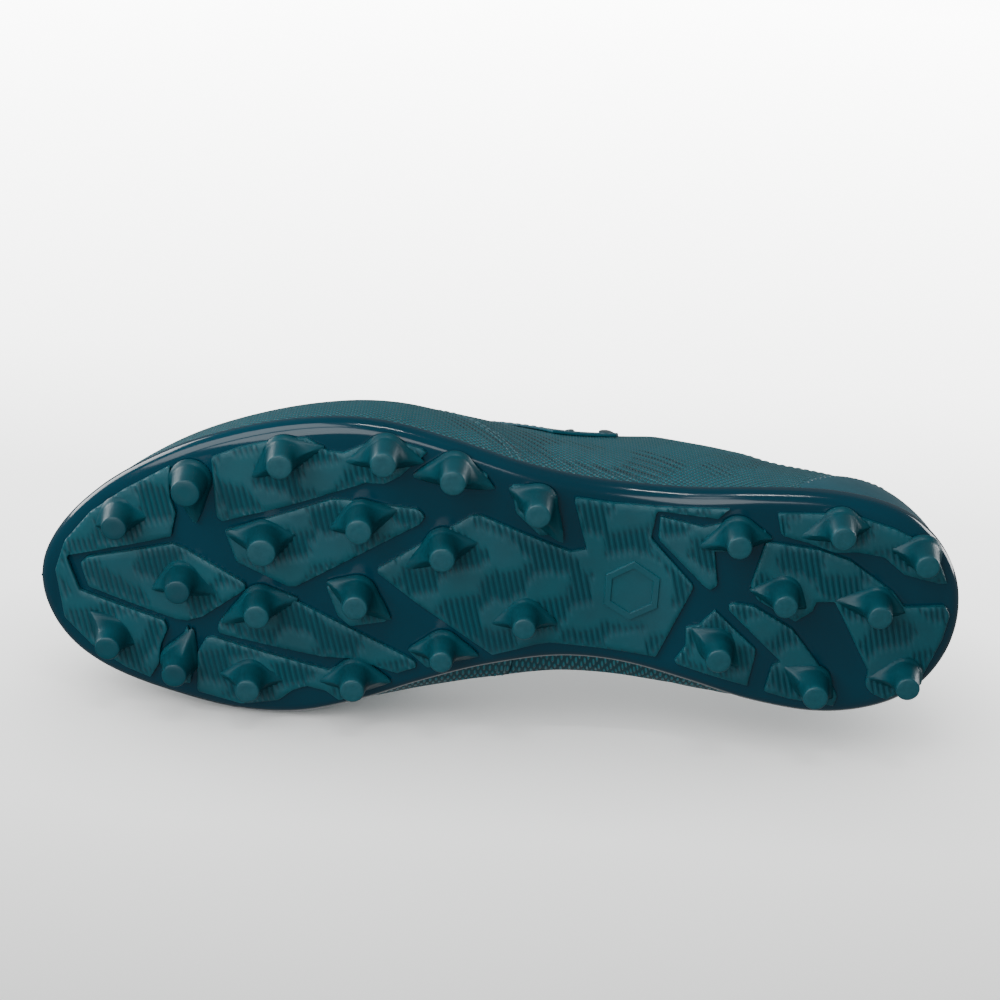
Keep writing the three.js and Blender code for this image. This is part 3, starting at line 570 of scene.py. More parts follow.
# Warp and weft at right angles. The threads are drawn 0.7 mm apart, coarser than real, so that they show.
def threadWeave(tree, coords, pitchMm):
    waves = [addNode(tree, "TexWave", {"bands_direction": direction}, {
        "Vector": coords, "Scale": perSize(pitchMm) / 6.3}).outputs["Fac"] for direction in ("X", "Y")]
    return addNode(tree, "Math", {"operation": "MAXIMUM"}, {0: waves[0], 1: waves[1]}).outputs[0]


# Polyester lining and linings like it: dull, dark, with a visible weave.
def wovenCloth(name, colour, other, pitchMm, sheen, useSurface):
    material, tree, shader = startMaterial(name, {"IOR": 1.45, "Roughness": 0.85, "Sheen Weight": sheen,
                                                  "Sheen Roughness": 0.5})
    coords = surfaceCoords(tree) if useSurface else objectCoords(tree)
    mottle(tree, shader, colour, other, 5, objectCoords(tree), (0.78, 0.95))
    addBump(tree, shader, threadWeave(tree, coords, pitchMm), 0.2, 0.8)
    return material


# Moulded or sheet plastics, board and foam inside the shoe: plain matte with a fine grain.
def innerSheet(name, tones, roughness, grainMm):
    spread = (roughness - 0.06, roughness + 0.08)
    return evenFinish(name, {"IOR": 1.48, "Roughness": roughness}, tones, 8, spread, grainMm, 0.08, 0.6)


# Bonded polyester thread: twisted, slightly shiny, a shade lighter than the upper.
def bondedThread():
    material, tree, shader = startMaterial("bondedThread", {"IOR": 1.55, "Roughness": 0.42, "Sheen Weight": 0.2})
    mottle(tree, shader, "#3f7a86", "#2f6672", 2, objectCoords(tree))
    return material


print("materials")
# Thermoplastic polyurethane from a polished mould: deep, wet-looking gloss with a faint ripple.
tpuGloss = evenFinish("polishedTpu", {"Roughness": 0.13, "Coat Weight": 0.35, "Coat Roughness": 0.05},
                      ("#0c4659", "#0a3e50"), 60, (0.1, 0.18), 9, 0.12, 0.5)
tpuMatte = grittyTpu()
tpuStud = studTpu()
microfibre = coatedMicrofibre()
# Hot-pressed polyurethane film: smooth satin, slightly darker than the microfibre under it.
film = evenFinish("pressedFilm", {"Roughness": 0.3, "Coat Weight": 0.15, "Coat Roughness": 0.2},
                  ("#22697a", "#1d5f70"), 18, (0.26, 0.4), 1.1, 0.05, 0.5)
liningCloth = wovenCloth("polyesterLining", "#16262c", "#1c3138", 0.9, 0.2, True)
collarKnit = wovenCloth("brushedKnit", "#123540", "#173f4b", 1.1, 0.5, True)
tongueKnit = wovenCloth("spacerKnit", "#16505d", "#1a5a68", 1.5, 0.35, True)
tape = wovenCloth("polyesterTape", "#13424e", "#184d5a", 1.0, 0.25, False)
braid = wovenCloth("braidedPolyester", "#10353f", "#15424d", 0.9, 0.3, True)
coverCloth = wovenCloth("sockCloth", "#12404b", "#0f3640", 1.0, 0.35, False)
backingFelt = wovenCloth("nonWovenBacking", "#4a5a60", "#56666c", 1.4, 0.2, False)
thread = bondedThread()
foam = innerSheet("evaFoam", ("#15414c", "#123843"), 0.8, 0.8)
boardFibre = innerSheet("celluloseBoard", ("#b8ad94", "#a99d83"), 0.85, 1.2)
stiffenerSheet = innerSheet("thermoplasticSheet", ("#c8c1ae", "#bdb5a0"), 0.6, 1.5)
nylonShank = innerSheet("glassFilledNylon", ("#25282b", "#1e2124"), 0.4, 0.9)
felt = innerSheet("feltFiller", ("#3b3f42", "#484c4f"), 0.95, 1.0)

for nodeName, material in {
    "insole_board": boardFibre, "shank": nylonShank, "bottom_filler": felt, "toe_puff": stiffenerSheet,
    "heel_counter": stiffenerSheet, "backing_lateral": backingFelt, "backing_medial": backingFelt,
}.items():
    nodes[nodeName].data.materials.clear()
    nodes[nodeName].data.materials.append(material)


print("sole plate")
plateShape = {"outer": -1.8, "inner": -0.3, "fillet": 4.0, "lip": 0.75}


def plateSection():
    outer, inner = plateShape["outer"], plateShape["inner"]
    fillet, lip = plateShape["fillet"], plateShape["lip"]
    rows = [(share, outer + fillet, plateZ) for share in (0, 0.3, 0.6, 0.8, 0.92, 1)]
    for degrees in (18, 36, 54, 72, 90):
        a = math.radians(degrees)
        inset = outer + fillet * (1 - math.sin(a))
        rows.append((1, inset, lambda x, up=fillet * (1 - math.cos(a)): plateZ(x) + up))
    for drop in (1.5, lip):
        rows.append((1, outer, lambda x, d=drop: rimTopZ(x) - d))
    for degrees in (30, 60, 90, 120, 150, 180):
        a = math.radians(degrees)
        inset = (outer + inner) / 2 - lip * math.cos(a)
        rows.append((1, inset, lambda x, up=lip * math.sin(a): rimTopZ(x) - lip + up))
    for share in (1, 0.6, 0):
        rows.append((share, inner, lambda x: plateZ(x) + last["plateThickness"]))
    return rows


finishPiece("sole_plate", lastedSolid(plateSection(), 200), tpuGloss, "plate_tpu", stands=["outsole_plate"])

tread = {
    "thickness": 1.3,
    "ribPitch": 1.8,
    "ribDepth": 0.5,
    "ribTurn": 14.5,  # degrees between a rib and the width of the shoe
    "stepAlong": 1.5,
    "edgeRound": 0.35,
}
studShape = {
    "length": 10.8,
    "flare": 1.25,
    "footFlare": 0.9,
    "footShare": 7,  # the foot's flare fades within this part of the length
    "tipDepth": 0.6,
    "tipRound": 0.55,
    "sink": 1.0,  # how far the stud reaches into its island
    "wingHeight": 7,
    "wingSpread": 1.35,
    "wingPoint": 3.6,  # higher is more pointed
    "rings": 15,
    "segments": 96,
}
# For each stud its place, tip radius and wings: (direction in degrees, length).
studs = {
    "toeLateral": ((-121, -10.7), 4, [(-3, 11), (150, 8)]),
    "starLateral": ((-98.4, -25.7), 4.5, [(83, 14)]),
    "ballOuter1": ((-69.6, -37.4), 4, [(-15, 12), (138, 12)]),
    "ballOuter2": ((-38.2, -40.4), 4, [(12, 11.5), (161, 12)]),
    "ballOuter3": ((-16.8, -36), 4, [(23, 13), (167, 12.5)]),
    "waistOuter": ((9.6, -26.8), 4, [(57, 15), (204, 9.5)]),
    "ballMiddle1": ((-74.5, -8.2), 4.5, [(-13, 9), (186, 12)]),
    "ballMiddle2": ((-44.8, -17.7), 4.1, [(-18, 11), (156, 10)]),
    "waistMiddle": ((-18.8, -10.1), 4, [(-10, 10), (144, 14)]),
    "toeMiddle": ((-100.7, 8.3), 4, [(22, 14), (155, 10)]),
    "ballInner1": ((-75.6, 14), 4, [(-10, 11.5), (147, 14)]),
    "ballInner2": ((-45, 8.3), 4, [(38, 13), (199, 9.5)]),
    "toeMedial": ((-123.3, 31.4), 4, [(19, 9), (225, 9.5)]),
    "starMedial": ((-101.5, 37.7), 4, [(-70, 12)]),
    "edgeInner1": ((-78, 40.3), 3.9, [(4, 10), (180, 9)]),
    "edgeInner2": ((-44.8, 37.3), 3.9, [(7, 11), (166, 11)]),
    "waistInner": ((-17.3, 25.1), 3.6, [(11, 11), (170, 10.5)]),
    "archInner": ((7.9, 11.8), 3.6, [(14, 10), (160, 11)]),
    "heelOuter1": ((71.9, -20.7), 3.8, [(4, 10), (155, 12)]),
    "heelOuter2": ((103.1, -26.1), 3.8, [(0, 8.5), (157, 12)]),
    "heelOuter3": ((129.8, -18.4), 3.8, [(50, 7), (184, 9.5)]),
    "heelMiddle1": ((88, -1.9), 3.8, [(32, 8.5), (180, 9.5)]),
    "heelMiddle2": ((117.4, -0.3), 3.8, [(15, 9), (180, 12)]),
    "heelInner1": ((69.3, 18.5), 4, [(41, 10), (213, 9.5)]),
    "heelInner2": ((100.7, 29), 4, [(36, 8), (207, 10)]),
    "heelInner3": ((129.1, 23.9), 3.8, [(29, 6), (169, 11)]),
}
islands = {
    "tread_toe": [
        (-142.5, 12), (-139.5, 2), (-131, -9.5), (-120, -19), (-105, -29.3), (-105, -19), (-103, -14),
        (-104.5, -5.5), (-139, 6.5), (-134.5, 18), (-106.5, 24.3), (-105.4, 27), (-107.6, 33), (-108.2, 40),
        (-111, 45.2), (-119.5, 42.6), (-130.5, 36.6), (-139.5, 28.5),
    ],
    "tread_toe_centre": [
        (-134, 8.5), (-132, 6), (-104, -3), (-100, -1.8), (-80.5, 8), (-80.5, 10), (-94, 21), (-99, 23.2),
        (-103, 23), (-131.5, 16),
    ],
    "tread_star_lateral": [
        (-103, -28.5), (-98.5, -32), (-93.6, -28.5), (-93.6, -21), (-96, -16), (-97.3, -11), (-99.4, -17),
        (-103.2, -21),
    ],
    "tread_ball_lateral": [
        (-92, -33.8), (-83.5, -38), (-72, -41.8), (-62.5, -43.2), (-55.8, -39.2), (-51, -39),
        (-42.5, -43.4), (-34, -43.8), (-25, -41.5), (-29.5, -37), (-33.5, -32.5), (-38, -29.8),
        (-44, -29.6), (-67, -20.4), (-88.2, -12.8), (-90, -14),
    ],
    "tread_waist_pad": [(-28, -34.5), (-17.5, -40.3), (-5, -34), (-17, -28.5)],
    "tread_arch_pad": [(1, -32), (8.5, -32.3), (13.5, -30), (18.2, -16.8), (11, -15.5), (3, -23)],
    "tread_ball_centre": [
        (-87.3, -9.6), (-54.5, -23.2), (-50, -23.4), (-27.5, -21.8), (-25, -19.8), (-26.5, -17),
        (-64.5, 7.3), (-67, 7.5), (-83.5, 0.5),
    ],
    "tread_ball_pad": [(-55, 6.5), (-45.5, 4), (-34.5, 15.5), (-36, 17.5), (-47, 20), (-51, 16.5)],
    "tread_ball_medial": [
        (-89.3, 24), (-87.5, 20.5), (-79.5, 11), (-75, 10), (-66.5, 10.3), (-64, 12.7), (-25.8, 31),
        (-25.2, 33), (-31.5, 35.6), (-38.5, 33.6), (-45, 31.4), (-55.7, 31.4), (-88.5, 26.3),
    ],
    "tread_medial_star_pad": [
        (-106.5, 43.5), (-103, 35.5), (-98.7, 24.5), (-96.8, 36), (-97.8, 45.5), (-103, 46),
    ],
    "tread_ball_edge": [
        (-95.5, 34), (-92.8, 28.6), (-90.5, 28), (-53, 36.3), (-50, 34.4), (-45.5, 34), (-33.8, 39.3),
        (-49.5, 46.8), (-54, 43.6), (-60, 42.4), (-64.5, 44.2), (-69, 48.3), (-81, 50.8), (-95.5, 48),
    ],
    "tread_waist_medial": [(-28, 27.6), (-18, 19.8), (-6.5, 26.3), (-17, 32.3), (-22, 32.8)],
    "tread_midfoot": [
        (-40, 0), (-10.5, -21), (-7.5, -21), (21, -10), (25.8, -11), (20.5, -28.6), (33, -27),
        (47, -26.8), (69, -28.6), (65.5, -25), (46.6, -25.4), (45.5, -16), (60.3, -1), (50.5, 25),
        (33, 23.2), (16.5, 21.6), (12, 22.4), (-1.5, 26.8), (-26, 10.5),
    ],
    "tread_heel_front": [
        (47.8, -23.6), (61.5, -21.6), (68, -24), (82, -22), (80, -20), (70, -14.5), (65.5, -14),
        (67.5, -2.5), (65.5, -0.5), (63.5, -1.5), (47.8, -16),
    ],
    "tread_heel_lateral": [
        (83.5, -28.4), (97, -29.2), (108.5, -29), (120.5, -25.6), (129, -21.6), (135.5, -15.3), (139, -8),
        (136, -8), (125, -10.6), (118, -16.2), (110, -17.2), (102.5, -16.6), (94, -19.3), (85.5, -21.2),
    ],
    "tread_heel_centre": [
        (81, -18.6), (98, -17), (108, -14), (122.8, -3.8), (126.5, 0.8), (139.5, 0), (141.3, 3),
        (140, 11.5), (134.3, 27.8), (125, 33.6), (120, 31.6), (117.5, 29), (118, 24), (106.3, 3.2),
        (104.5, 0.2), (98.8, 0.8), (98, 4), (93, 8), (80.5, 1.5), (77.8, -3),
    ],
    "tread_heel_medial": [
        (70.8, 4.8), (73, 3.3), (79.5, 3.8), (92.5, 11), (105.2, 26.7), (109.2, 33.5), (108.3, 37),
        (94, 35.4), (85.8, 33.4), (87.3, 24.3), (90, 22.5),
    ],
    "tread_heel_inner": [
        (67.5, 6.4), (63, 12.2), (59, 13.6), (59.6, 20), (56, 26.3), (66, 28.7), (80.2, 31.8), (81.8, 19),
    ],
}
mark = {"at": (41, 2.2), "outer": 10, "inner": 7.2, "height": 0.55}


def treadFaceZ(x):
    return plateZ(x) - last["seam"] - tread["thickness"]


# Distance of plan points to an outline, below zero inside.
def outlineLevel(points, x, y):
    corner = np.array(points, float)
    following = np.roll(corner, -1, axis=0)
    nearest = np.full(np.shape(x), 1e9)
    inside = np.zeros(np.shape(x), bool)
    for (ax, ay), (bx, by) in zip(corner, following):
        share = np.clip(((x - ax) * (bx - ax) + (y - ay) * (by - ay)) / ((bx - ax) ** 2 + (by - ay) ** 2), 0, 1)
        nearest = np.minimum(nearest, np.hypot(x - ax - share * (bx - ax), y - ay - share * (by - ay)))
        crosses = (ay > y) != (by > y)
        slope = (bx - ax) / (by - ay) if by != ay else 0
        inside ^= crosses & (x < ax + (y - ay) * slope)
    return np.where(inside, -nearest, nearest)


# How far the plate's rounded edge rises above its underside at a plan point.
def edgeRise(x, y):
    def inwards(px, py):
        u = stationOf(px)
        return (medialY(u) - lateralY(u)) / 2 - plateShape["outer"] - np.abs(py - crestY(px))

    away = inwards(x, y)
    slope = inwards(x + 0.5, y) - inwards(x - 0.5, y)
    away = away / np.sqrt(1 + slope**2)
    fillet = plateShape["fillet"]
    short = np.clip(fillet - away, 0, fillet)
    return fillet - np.sqrt(fillet**2 - short**2)


# How far the moulded ribs dip at a plan point: 0 on the smooth patches.
def ribDip(x, y, edge):
    turn = math.radians(tread["ribTurn"])
    across = x * math.cos(turn) - y * math.sin(turn)
    along = x * math.sin(turn) + y * math.cos(turn)
    rib = np.round(across / tread["ribPitch"]) * tread["ribPitch"]
    field = np.sin(rib * 0.17 + along * 0.31 + 1) + np.sin(rib * 0.29 - along * 0.23 + 2.1)
    field = field + 0.7 * np.sin(along * 0.47 + rib * 0.11)
    clear = np.hypot(x - mark["at"][0], y - mark["at"][1]) > mark["outer"] + 3
    on = ((field > -0.2) & (edge < -0.7) & clear).astype(float)
    return on * tread["ribDepth"] * np.clip(0.5 - 0.8 * np.cos(2 * np.pi * across / tread["ribPitch"]), 0, 1)


def treadIsland(name, points):
    turn = math.radians(tread["ribTurn"])
    corner = np.array(points, float)
    across = corner[:, 0] * math.cos(turn) - corner[:, 1] * math.sin(turn)
    along = corner[:, 0] * math.sin(turn) + corner[:, 1] * math.cos(turn)
    stepAcross = tread["ribPitch"] / 4
    a0 = math.floor(across.min() / stepAcross - 1) * stepAcross
    aSteps = math.ceil((across.max() - a0) / stepAcross) + 1
    b0 = along.min() - 1
    bSteps = math.ceil((along.max() + 1 - b0) / tread["stepAlong"])
    bm = bmesh.new()
    bmesh.ops.create_grid(bm, x_segments=aSteps, y_segments=bSteps, size=0.5)
    share = readPoints(bm) + 0.5
    a = a0 + share[:, 0] * aSteps * stepAcross
    b = b0 + share[:, 1] * bSteps * tread["stepAlong"]
    x = a * math.cos(turn) + b * math.sin(turn)
    y = b * math.cos(turn) - a * math.sin(turn)
    for i, vert in enumerate(bm.verts):
        vert.co = (x[i], y[i], 0)
    cutAlong(bm, lambda px, py, pz: outlineLevel(points, px, py))
    flat = readPoints(bm)
    edge = outlineLevel(points, flat[:, 0], flat[:, 1])
    roundOff = tread["edgeRound"] * np.clip(1 + edge / 0.5, 0, 1) ** 2
    dip = ribDip(flat[:, 0], flat[:, 1], edge)
    height = treadFaceZ(flat[:, 0]) + dip + roundOff + edgeRise(flat[:, 0], flat[:, 1])
    # Each vertex keeps how far its rib dips, which the tread material turns into painted shade in the valleys.
    dipLayer = bm.verts.layers.float.new("dip")
    for i, vert in enumerate(bm.verts):
        vert.co.z = height[i]
        vert[dipLayer] = dip[i] / tread["ribDepth"]
    rim = [e for e in bm.edges if e.is_boundary]
    made = bmesh.ops.extrude_edge_only(bm, edges=rim)["geom"]
    for vert in [g for g in made if isinstance(g, bmesh.types.BMVert)]:
        vert.co.z = float(plateZ(vert.co.x) + edgeRise(vert.co.x, vert.co.y)) + 0.3
    bottom = [g for g in made if isinstance(g, bmesh.types.BMEdge) and g.is_boundary]
    bmesh.ops.triangle_fill(bm, use_beauty=True, edges=bottom)
    bmesh.ops.recalc_face_normals(bm, faces=bm.faces)
    return finishPiece("island_" + name[6:], bm, tpuMatte, "tread_tpu", stands=[name], sharp=50)


# A round stud whose sides run out into low pointed wings, made by one full spin of its profile.
def studPiece(name, at, radius, wings):
    length, flare, tipDepth = studShape["length"], studShape["flare"], studShape["tipDepth"]
    rings = studShape["rings"]
    profile = [(0.0, studShape["sink"])]
    for i in range(rings):
        up = i / (rings - 1)
        foot = studShape["footFlare"] * max(0.0, 1 - up * studShape["footShare"]) ** 2
        profile.append((radius + flare * (1 - up) + foot, -(length - tipDepth) * up if i else studShape["sink"]))
    profile.insert(2, (profile[1][0], 0.0))
    for degrees in (30, 60, 90):
        a = math.radians(degrees)
        profile.append((radius - studShape["tipRound"] * (1 - math.cos(a)), -length + tipDepth * (1 - math.sin(a))))
    profile += [(radius * 0.5, -length), (0.0, -length)]
    bm = bmesh.new()
    ring = [bm.verts.new((r, 0, z)) for r, z in profile]
    edges = [bm.edges.new(pair) for pair in zip(ring, ring[1:])]
    bmesh.ops.spin(bm, geom=ring + edges, cent=(0, 0, 0), axis=(0, 0, 1), angle=math.tau,
                   steps=studShape["segments"], use_merge=True)
    bmesh.ops.remove_doubles(bm, verts=bm.verts, dist=0.001)
    for vert in bm.verts:
        r = math.hypot(vert.co.x, vert.co.y)
        if r < 0.6 * radius:
            continue
        theta = math.atan2(vert.co.y, vert.co.x)
        level = min(1.0, max(0.0, -vert.co.z / studShape["wingHeight"]))
        reach = r
        for degrees, wing in wings:
            offset = abs((theta - math.radians(degrees) + math.pi) % math.tau - math.pi)
            leaf = max(0.0, 1 - offset / studShape["wingSpread"]) ** studShape["wingPoint"]
            reach = max(reach, r + (wing - radius - flare) * (1 - level) ** 2 * leaf)
        vert.co.x *= reach / r
        vert.co.y *= reach / r
    base = float(treadFaceZ(at[0]))
    bmesh.ops.translate(bm, verts=bm.verts, vec=(at[0], at[1], base))
    bmesh.ops.recalc_face_normals(bm, faces=bm.faces)
    return finishPiece("stud_" + name, bm, tpuStud, "tread_tpu", sharp=55)


print("tread islands")
for name, points in islands.items():
    treadIsland(name, points)
print("studs")
for name, (at, radius, wings) in studs.items():
    studPiece(name, at, radius, wings)


# A plain raised hexagon ring on the midfoot.
def hexagonMark():
    def spot(i, j):
        a = math.radians(60 * i + 30)
        radius = (mark["outer"], mark["outer"] - 0.3, mark["inner"] + 0.3, mark["inner"])[j]
        x = mark["at"][0] + radius * math.cos(a)
        y = mark["at"][1] + radius * 1.05 * math.sin(a)
        low = 0.2 if j in (0, 3) else -mark["height"]
        return (x, y, float(treadFaceZ(x)) + low)
    return finishPiece("midfoot_mark", sweptSolid(6, 4, spot, False), tpuMatte, "tread_tpu", sharp=20, edge=0.12)


hexagonMark()

print("upper")
upper = {"skin": 1.3, "lining": 0.6, "liningIn": 2.6, "overlay": 0.8, "overlayOut": -1.1, "eyestayWidth": 14,
         "eyestayDrop": 27}
halfTurn = math.pi / 2
eyelets = {"pairs": 6, "first": -32.5, "run": 64, "inset": 6.5, "radius": 2.6, "depth": 6}


def eyeletX(i):
    return eyelets["first"] + i * eyelets["run"] / (eyelets["pairs"] - 1)


def eyeletY(i, sign, inward=0.0):
    x = eyeletX(i)
    return float(crestY(x) + sign * (throatHalf(x) + eyelets["inset"] - inward))


# Below zero away from every eyelet. A hole is punched only near its own spot, not through the other side.
def eyeletLevel(x, y, z):
    nearest = np.full(np.shape(x), 1e9)
    for i in range(eyelets["pairs"]):
        for sign in (-1, 1):
            spot = (eyeletX(i), eyeletY(i, sign))
            centre = underSkin(spot[0], spot[1], 0)
            outward = (underSkin(spot[0], spot[1], -1) - centre).normalized()
            dx, dy, dz = x - centre.x, y - centre.y, z - centre.z
            along = dx * outward.x + dy * outward.y + dz * outward.z
            away = np.sqrt(np.maximum(dx**2 + dy**2 + dz**2 - along**2, 0)) + 9 * (np.abs(along) > eyelets["depth"])
            nearest = np.minimum(nearest, away)
    return eyelets["radius"] - nearest


def collarCut(x, y, z):
    return np.where(x < 20, -50.0, z - collarZ(x))


def throatCut(x, y, z):
    return -throatLevel(x, y, 0)


# A layer of the upper: a sheet over the form, cut to its outline, with its thickness inwards.
def layerPiece(name, node, look, inset, stations, angles, steps, cuts, wall, edge=0.0):
    material, slot = look
    bm = formSheet(inset, stations, angles, steps)
    for cut in cuts:
        cutAlong(bm, cut)
    if inset <= 0:
        swellArch(bm)
    return finishPiece(name, bm, material, slot, stands=[node], wall=wall, edge=edge)


skinLook = (microfibre, "upper_synthetic")
filmLook = (film, "overlay_film")
liningLook = (liningCloth, "lining_textile")
wholeTurn = (0, math.pi)
layerPiece("vamp_skin", "vamp", skinLook, 0, (0, 0.72), wholeTurn, (170, 110), [
    lambda x, y, z: x - seamX(z), throatCut], upper["skin"])
for side, angles in (("lateral", (0, halfTurn)), ("medial", (halfTurn, math.pi))):
    layerPiece("quarter_skin_" + side, "quarter_" + side, skinLook, 0, (0.4, 1), angles, (200, 80), [
        lambda x, y, z: seamX(z) + last["seam"] - x, throatCut, collarCut, eyeletLevel], upper["skin"])
stayAngles = (0.35, math.pi - 0.35)
layerPiece("eyestay_film", "eyestay", filmLook, upper["overlayOut"], (0.3, 0.72), stayAngles, (170, 190), [
    lambda x, y, z: throatLevel(x, y, upper["eyestayWidth"]), throatCut,
    lambda x, y, z: crestZ(x) - upper["eyestayDrop"] - z,
    lambda x, y, z: x - 28 - 19 * z / 200, collarCut, eyeletLevel], upper["overlay"], edge=0.2)
layerPiece("heel_film", "heel_overlay", filmLook, upper["overlayOut"], (0.72, 1), wholeTurn, (90, 150), [
    lambda x, y, z: z - heelOverlayZ(x),
    lambda x, y, z: rimTopZ(x) + last["seam"] - z], upper["overlay"], edge=0.2)
layerPiece("front_lining", "vamp_lining", liningLook, upper["liningIn"], (0, 0.55), wholeTurn, (90, 60), [
    lambda x, y, z: x + 1, throatCut], upper["lining"])
layerPiece("rear_lining", "quarter_lining", liningLook, upper["liningIn"], (0.45, 1), wholeTurn, (150, 100), [
    lambda x, y, z: -x - 0.7, throatCut, collarCut, eyeletLevel], upper["lining"])

print("sockliner")
sock = {"inset": 3.5, "floor": 3.4, "thickness": 4, "cup": 12, "wall": 2.5, "cover": 0.6}


def sockTopZ(x):
    return featherZ(x) + sock["floor"] + sock["thickness"]


def cupTopZ(x):
    return sockTopZ(x) + sock["cup"] * ease((x - 55) / 45)


sockRows = [(share, sock["inset"], lambda x: featherZ(x) + sock["floor"]) for share in (0, 0.6, 1)]
sockRows += [
    (1, sock["inset"], lambda x: cupTopZ(x) - 0.8),
    (1, sock["inset"] + 0.8, cupTopZ),
    (1, sock["inset"] + sock["wall"], lambda x: np.maximum(cupTopZ(x) - 1.2, sockTopZ(x))),
    (1, sock["inset"] + sock["wall"], sockTopZ),
    (0.6, sock["inset"] + sock["wall"], sockTopZ),
    (0, sock["inset"] + sock["wall"], sockTopZ),
]
sockliner = finishPiece("sockliner_foam", lastedSolid(sockRows, 110), foam, "foam", stands=["sockliner"])
coverIn = sock["inset"] + sock["wall"] + 0.3
coverRows = [(share, coverIn, lambda x: sockTopZ(x) + 0.3) for share in (0, 0.6, 1)]
coverRows += [(share, coverIn, lambda x: sockTopZ(x) + 0.3 + sock["cover"]) for share in (1, 0.9, 0.6, 0.3, 0)]
finishPiece("sock_cover", lastedSolid(coverRows, 110), coverCloth, "lining_textile", stands=["sockliner_cover"])

print("collar padding")
collar = {"front": 61.5, "inset": 3.5, "thickness": 4.5, "depth": 17, "above": 1.2, "along": 120, "round": 20}


def collarPadding():
    uFront = float(stationOf(collar["front"]))

    def spot(i, j):
        way = i / collar["along"] * 2 - 1
        u = 1 - abs(way) * (1 - uFront)
        sign = -1 if way < 0 else 1
        a = math.tau * j / collar["round"]
        endRound = math.sqrt(max(0.0, 1 - max(0.0, abs(way) * 12 - 11) ** 2))
        across = math.copysign(abs(math.cos(a)) ** 0.7, math.cos(a)) * endRound
        up = math.copysign(abs(math.sin(a)) ** 0.8, math.sin(a)) * endRound
        puff = 1 + 0.12 * math.sin(abs(way) * 9)
        inset = collar["inset"] + collar["thickness"] * (0.5 + 0.5 * across * puff)
        x = float(xAt(u))
        top = float(collarZ(x - 4 * float(ease((x - 90) / 50)))) + collar["above"]
        z = top - collar["depth"] / 2 + collar["depth"] / 2 * up
        half = float(halfAt(u, inset, z))
        middle = float((medialY(u) + lateralY(u)) / 2)
        xs = formMiddle + (x - formMiddle) * (1 - 2 * inset / last["length"])
        return (xs - float(leanAt(xs, z - float(featherZ(x)))), middle + sign * half, z)
    return sweptSolid(collar["along"], collar["round"], spot)


padding = finishPiece(
    "collar_pad", layMap(collarPadding(), lambda vert: (vert.co.x, vert.co.z)), collarKnit, "collar_textile",
    stands=["collar_padding"], sharp=80)

print("tongue")
tongue = {"front": -49.5, "end": 57, "depth": 9.9, "thickness": 3.8, "lining": 0.6, "crown": 3.6,
          "halfWidth": [(-51, 12), (-47, 15), (-20, 19), (10, 17.5), (36, 15), (50, 12), (56, 7), (57.5, 1)],
          "channelPitch": 11, "channelDepth": 0.9, "along": 110, "across": 26,
          "root": {"from": -50, "to": -44, "half": 11, "top": 3.6, "bottom": 12}}  # block sewn to the vamp
tongueHalf = curveThrough(tongue["halfWidth"])


# Depth under the outer skin of the tongue's face at a share of its half width, with sewn channels.
def tongueDepth(x, t):
    crown = tongue["crown"] * max(0.0, 1 - (t / 0.62) ** 2)
    wave = abs(math.sin(math.pi * (x - tongue["front"]) / tongue["channelPitch"])) ** 0.35
    channel = tongue["channelDepth"] * (1 - wave) * max(0.0, 1 - (t / 0.85) ** 4)
    edge = 1.6 * abs(t) ** 6
    return tongue["depth"] - crown + channel + edge


def tongueSpot(x, t, depth):
    half = float(tongueHalf(x))
    u = stationOf(x)
    halfIn, _, _ = sizesAt(u, depth)
    y = float(crestY(x)) + t * min(half, float(halfIn) * 0.93)
    z = float(topZ(x, y, depth))
    floor = float(crestZ(x)) - 27
    return (x, y, max(z, floor))


def tongueSlab(top, bottom, shrink):
    along, across = tongue["along"], tongue["across"]

    def spot(i, j):
        x = tongue["front"] + shrink + (tongue["end"] - tongue["front"] - 2 * shrink) * i / along
        if j <= across:
            t = -1 + 2 * j / across
            return tongueSpot(x, t * (1 - shrink / 20), top(x, t))
        t = 1 - 2 * (j - across) / across
        return tongueSpot(x, t * (1 - shrink / 20), bottom(x, t))
    return sweptSolid(along, 2 * across, spot)


def mapped(bm):
    return layMap(bm, lambda vert: (vert.co.x, vert.co.y))


def tonguePiece():
    bottom = tongue["depth"] + tongue["thickness"]
    bm = tongueSlab(tongueDepth, lambda x, t: bottom - 0.9 * abs(t) ** 6, 0.0)
    root = tongue["root"]

    def rootSpot(i, j):
        x = (root["from"], root["from"], root["to"], root["to"])[j]
        y = float(crestY(x)) - root["half"] + 2 * root["half"] * i / 12
        return (x, y, float(topZ(x, y, root["bottom"] if j in (1, 2) else root["top"])))
    joinTo(bm, sweptSolid(12, 4, rootSpot))
    return finishPiece("tongue_pad", mapped(bm), tongueKnit, "tongue_textile", body="tongue",
                       stands=["tongue"], sharp=60)


tonguePad = tonguePiece()
liningTop = tongue["depth"] + tongue["thickness"] + 0.3
tongueSkin = tongueSlab(lambda x, t: liningTop, lambda x, t: liningTop + tongue["lining"], 1.5)
finishPiece("tongue_back", mapped(tongueSkin), liningCloth, "lining_textile", body="tongue",
            stands=["tongue_lining"], sharp=60)

print("lace")
lace = {"halfWidth": 2.3, "halfThickness": 0.6, "steps": 44, "round": 12, "radius": 1.3, "gap": 1.9}
underLace = upper["liningIn"] + upper["lining"] + lace["gap"] + lace["radius"]
overLace = upper["overlayOut"] - lace["halfThickness"] - 0.15


def eyeletPoint(i, sign, depth, inward=0.0):
    return underSkin(eyeletX(i), eyeletY(i, sign, inward), depth)


def laceOut(i, sign):
    return [
        eyeletPoint(i, sign, 3), eyeletPoint(i, sign, overLace + 1.2), eyeletPoint(i + 0.05, sign, overLace, 2.5),
        eyeletPoint(i + 0.2, sign, overLace + 0.4, eyelets["inset"] + 1),
    ]


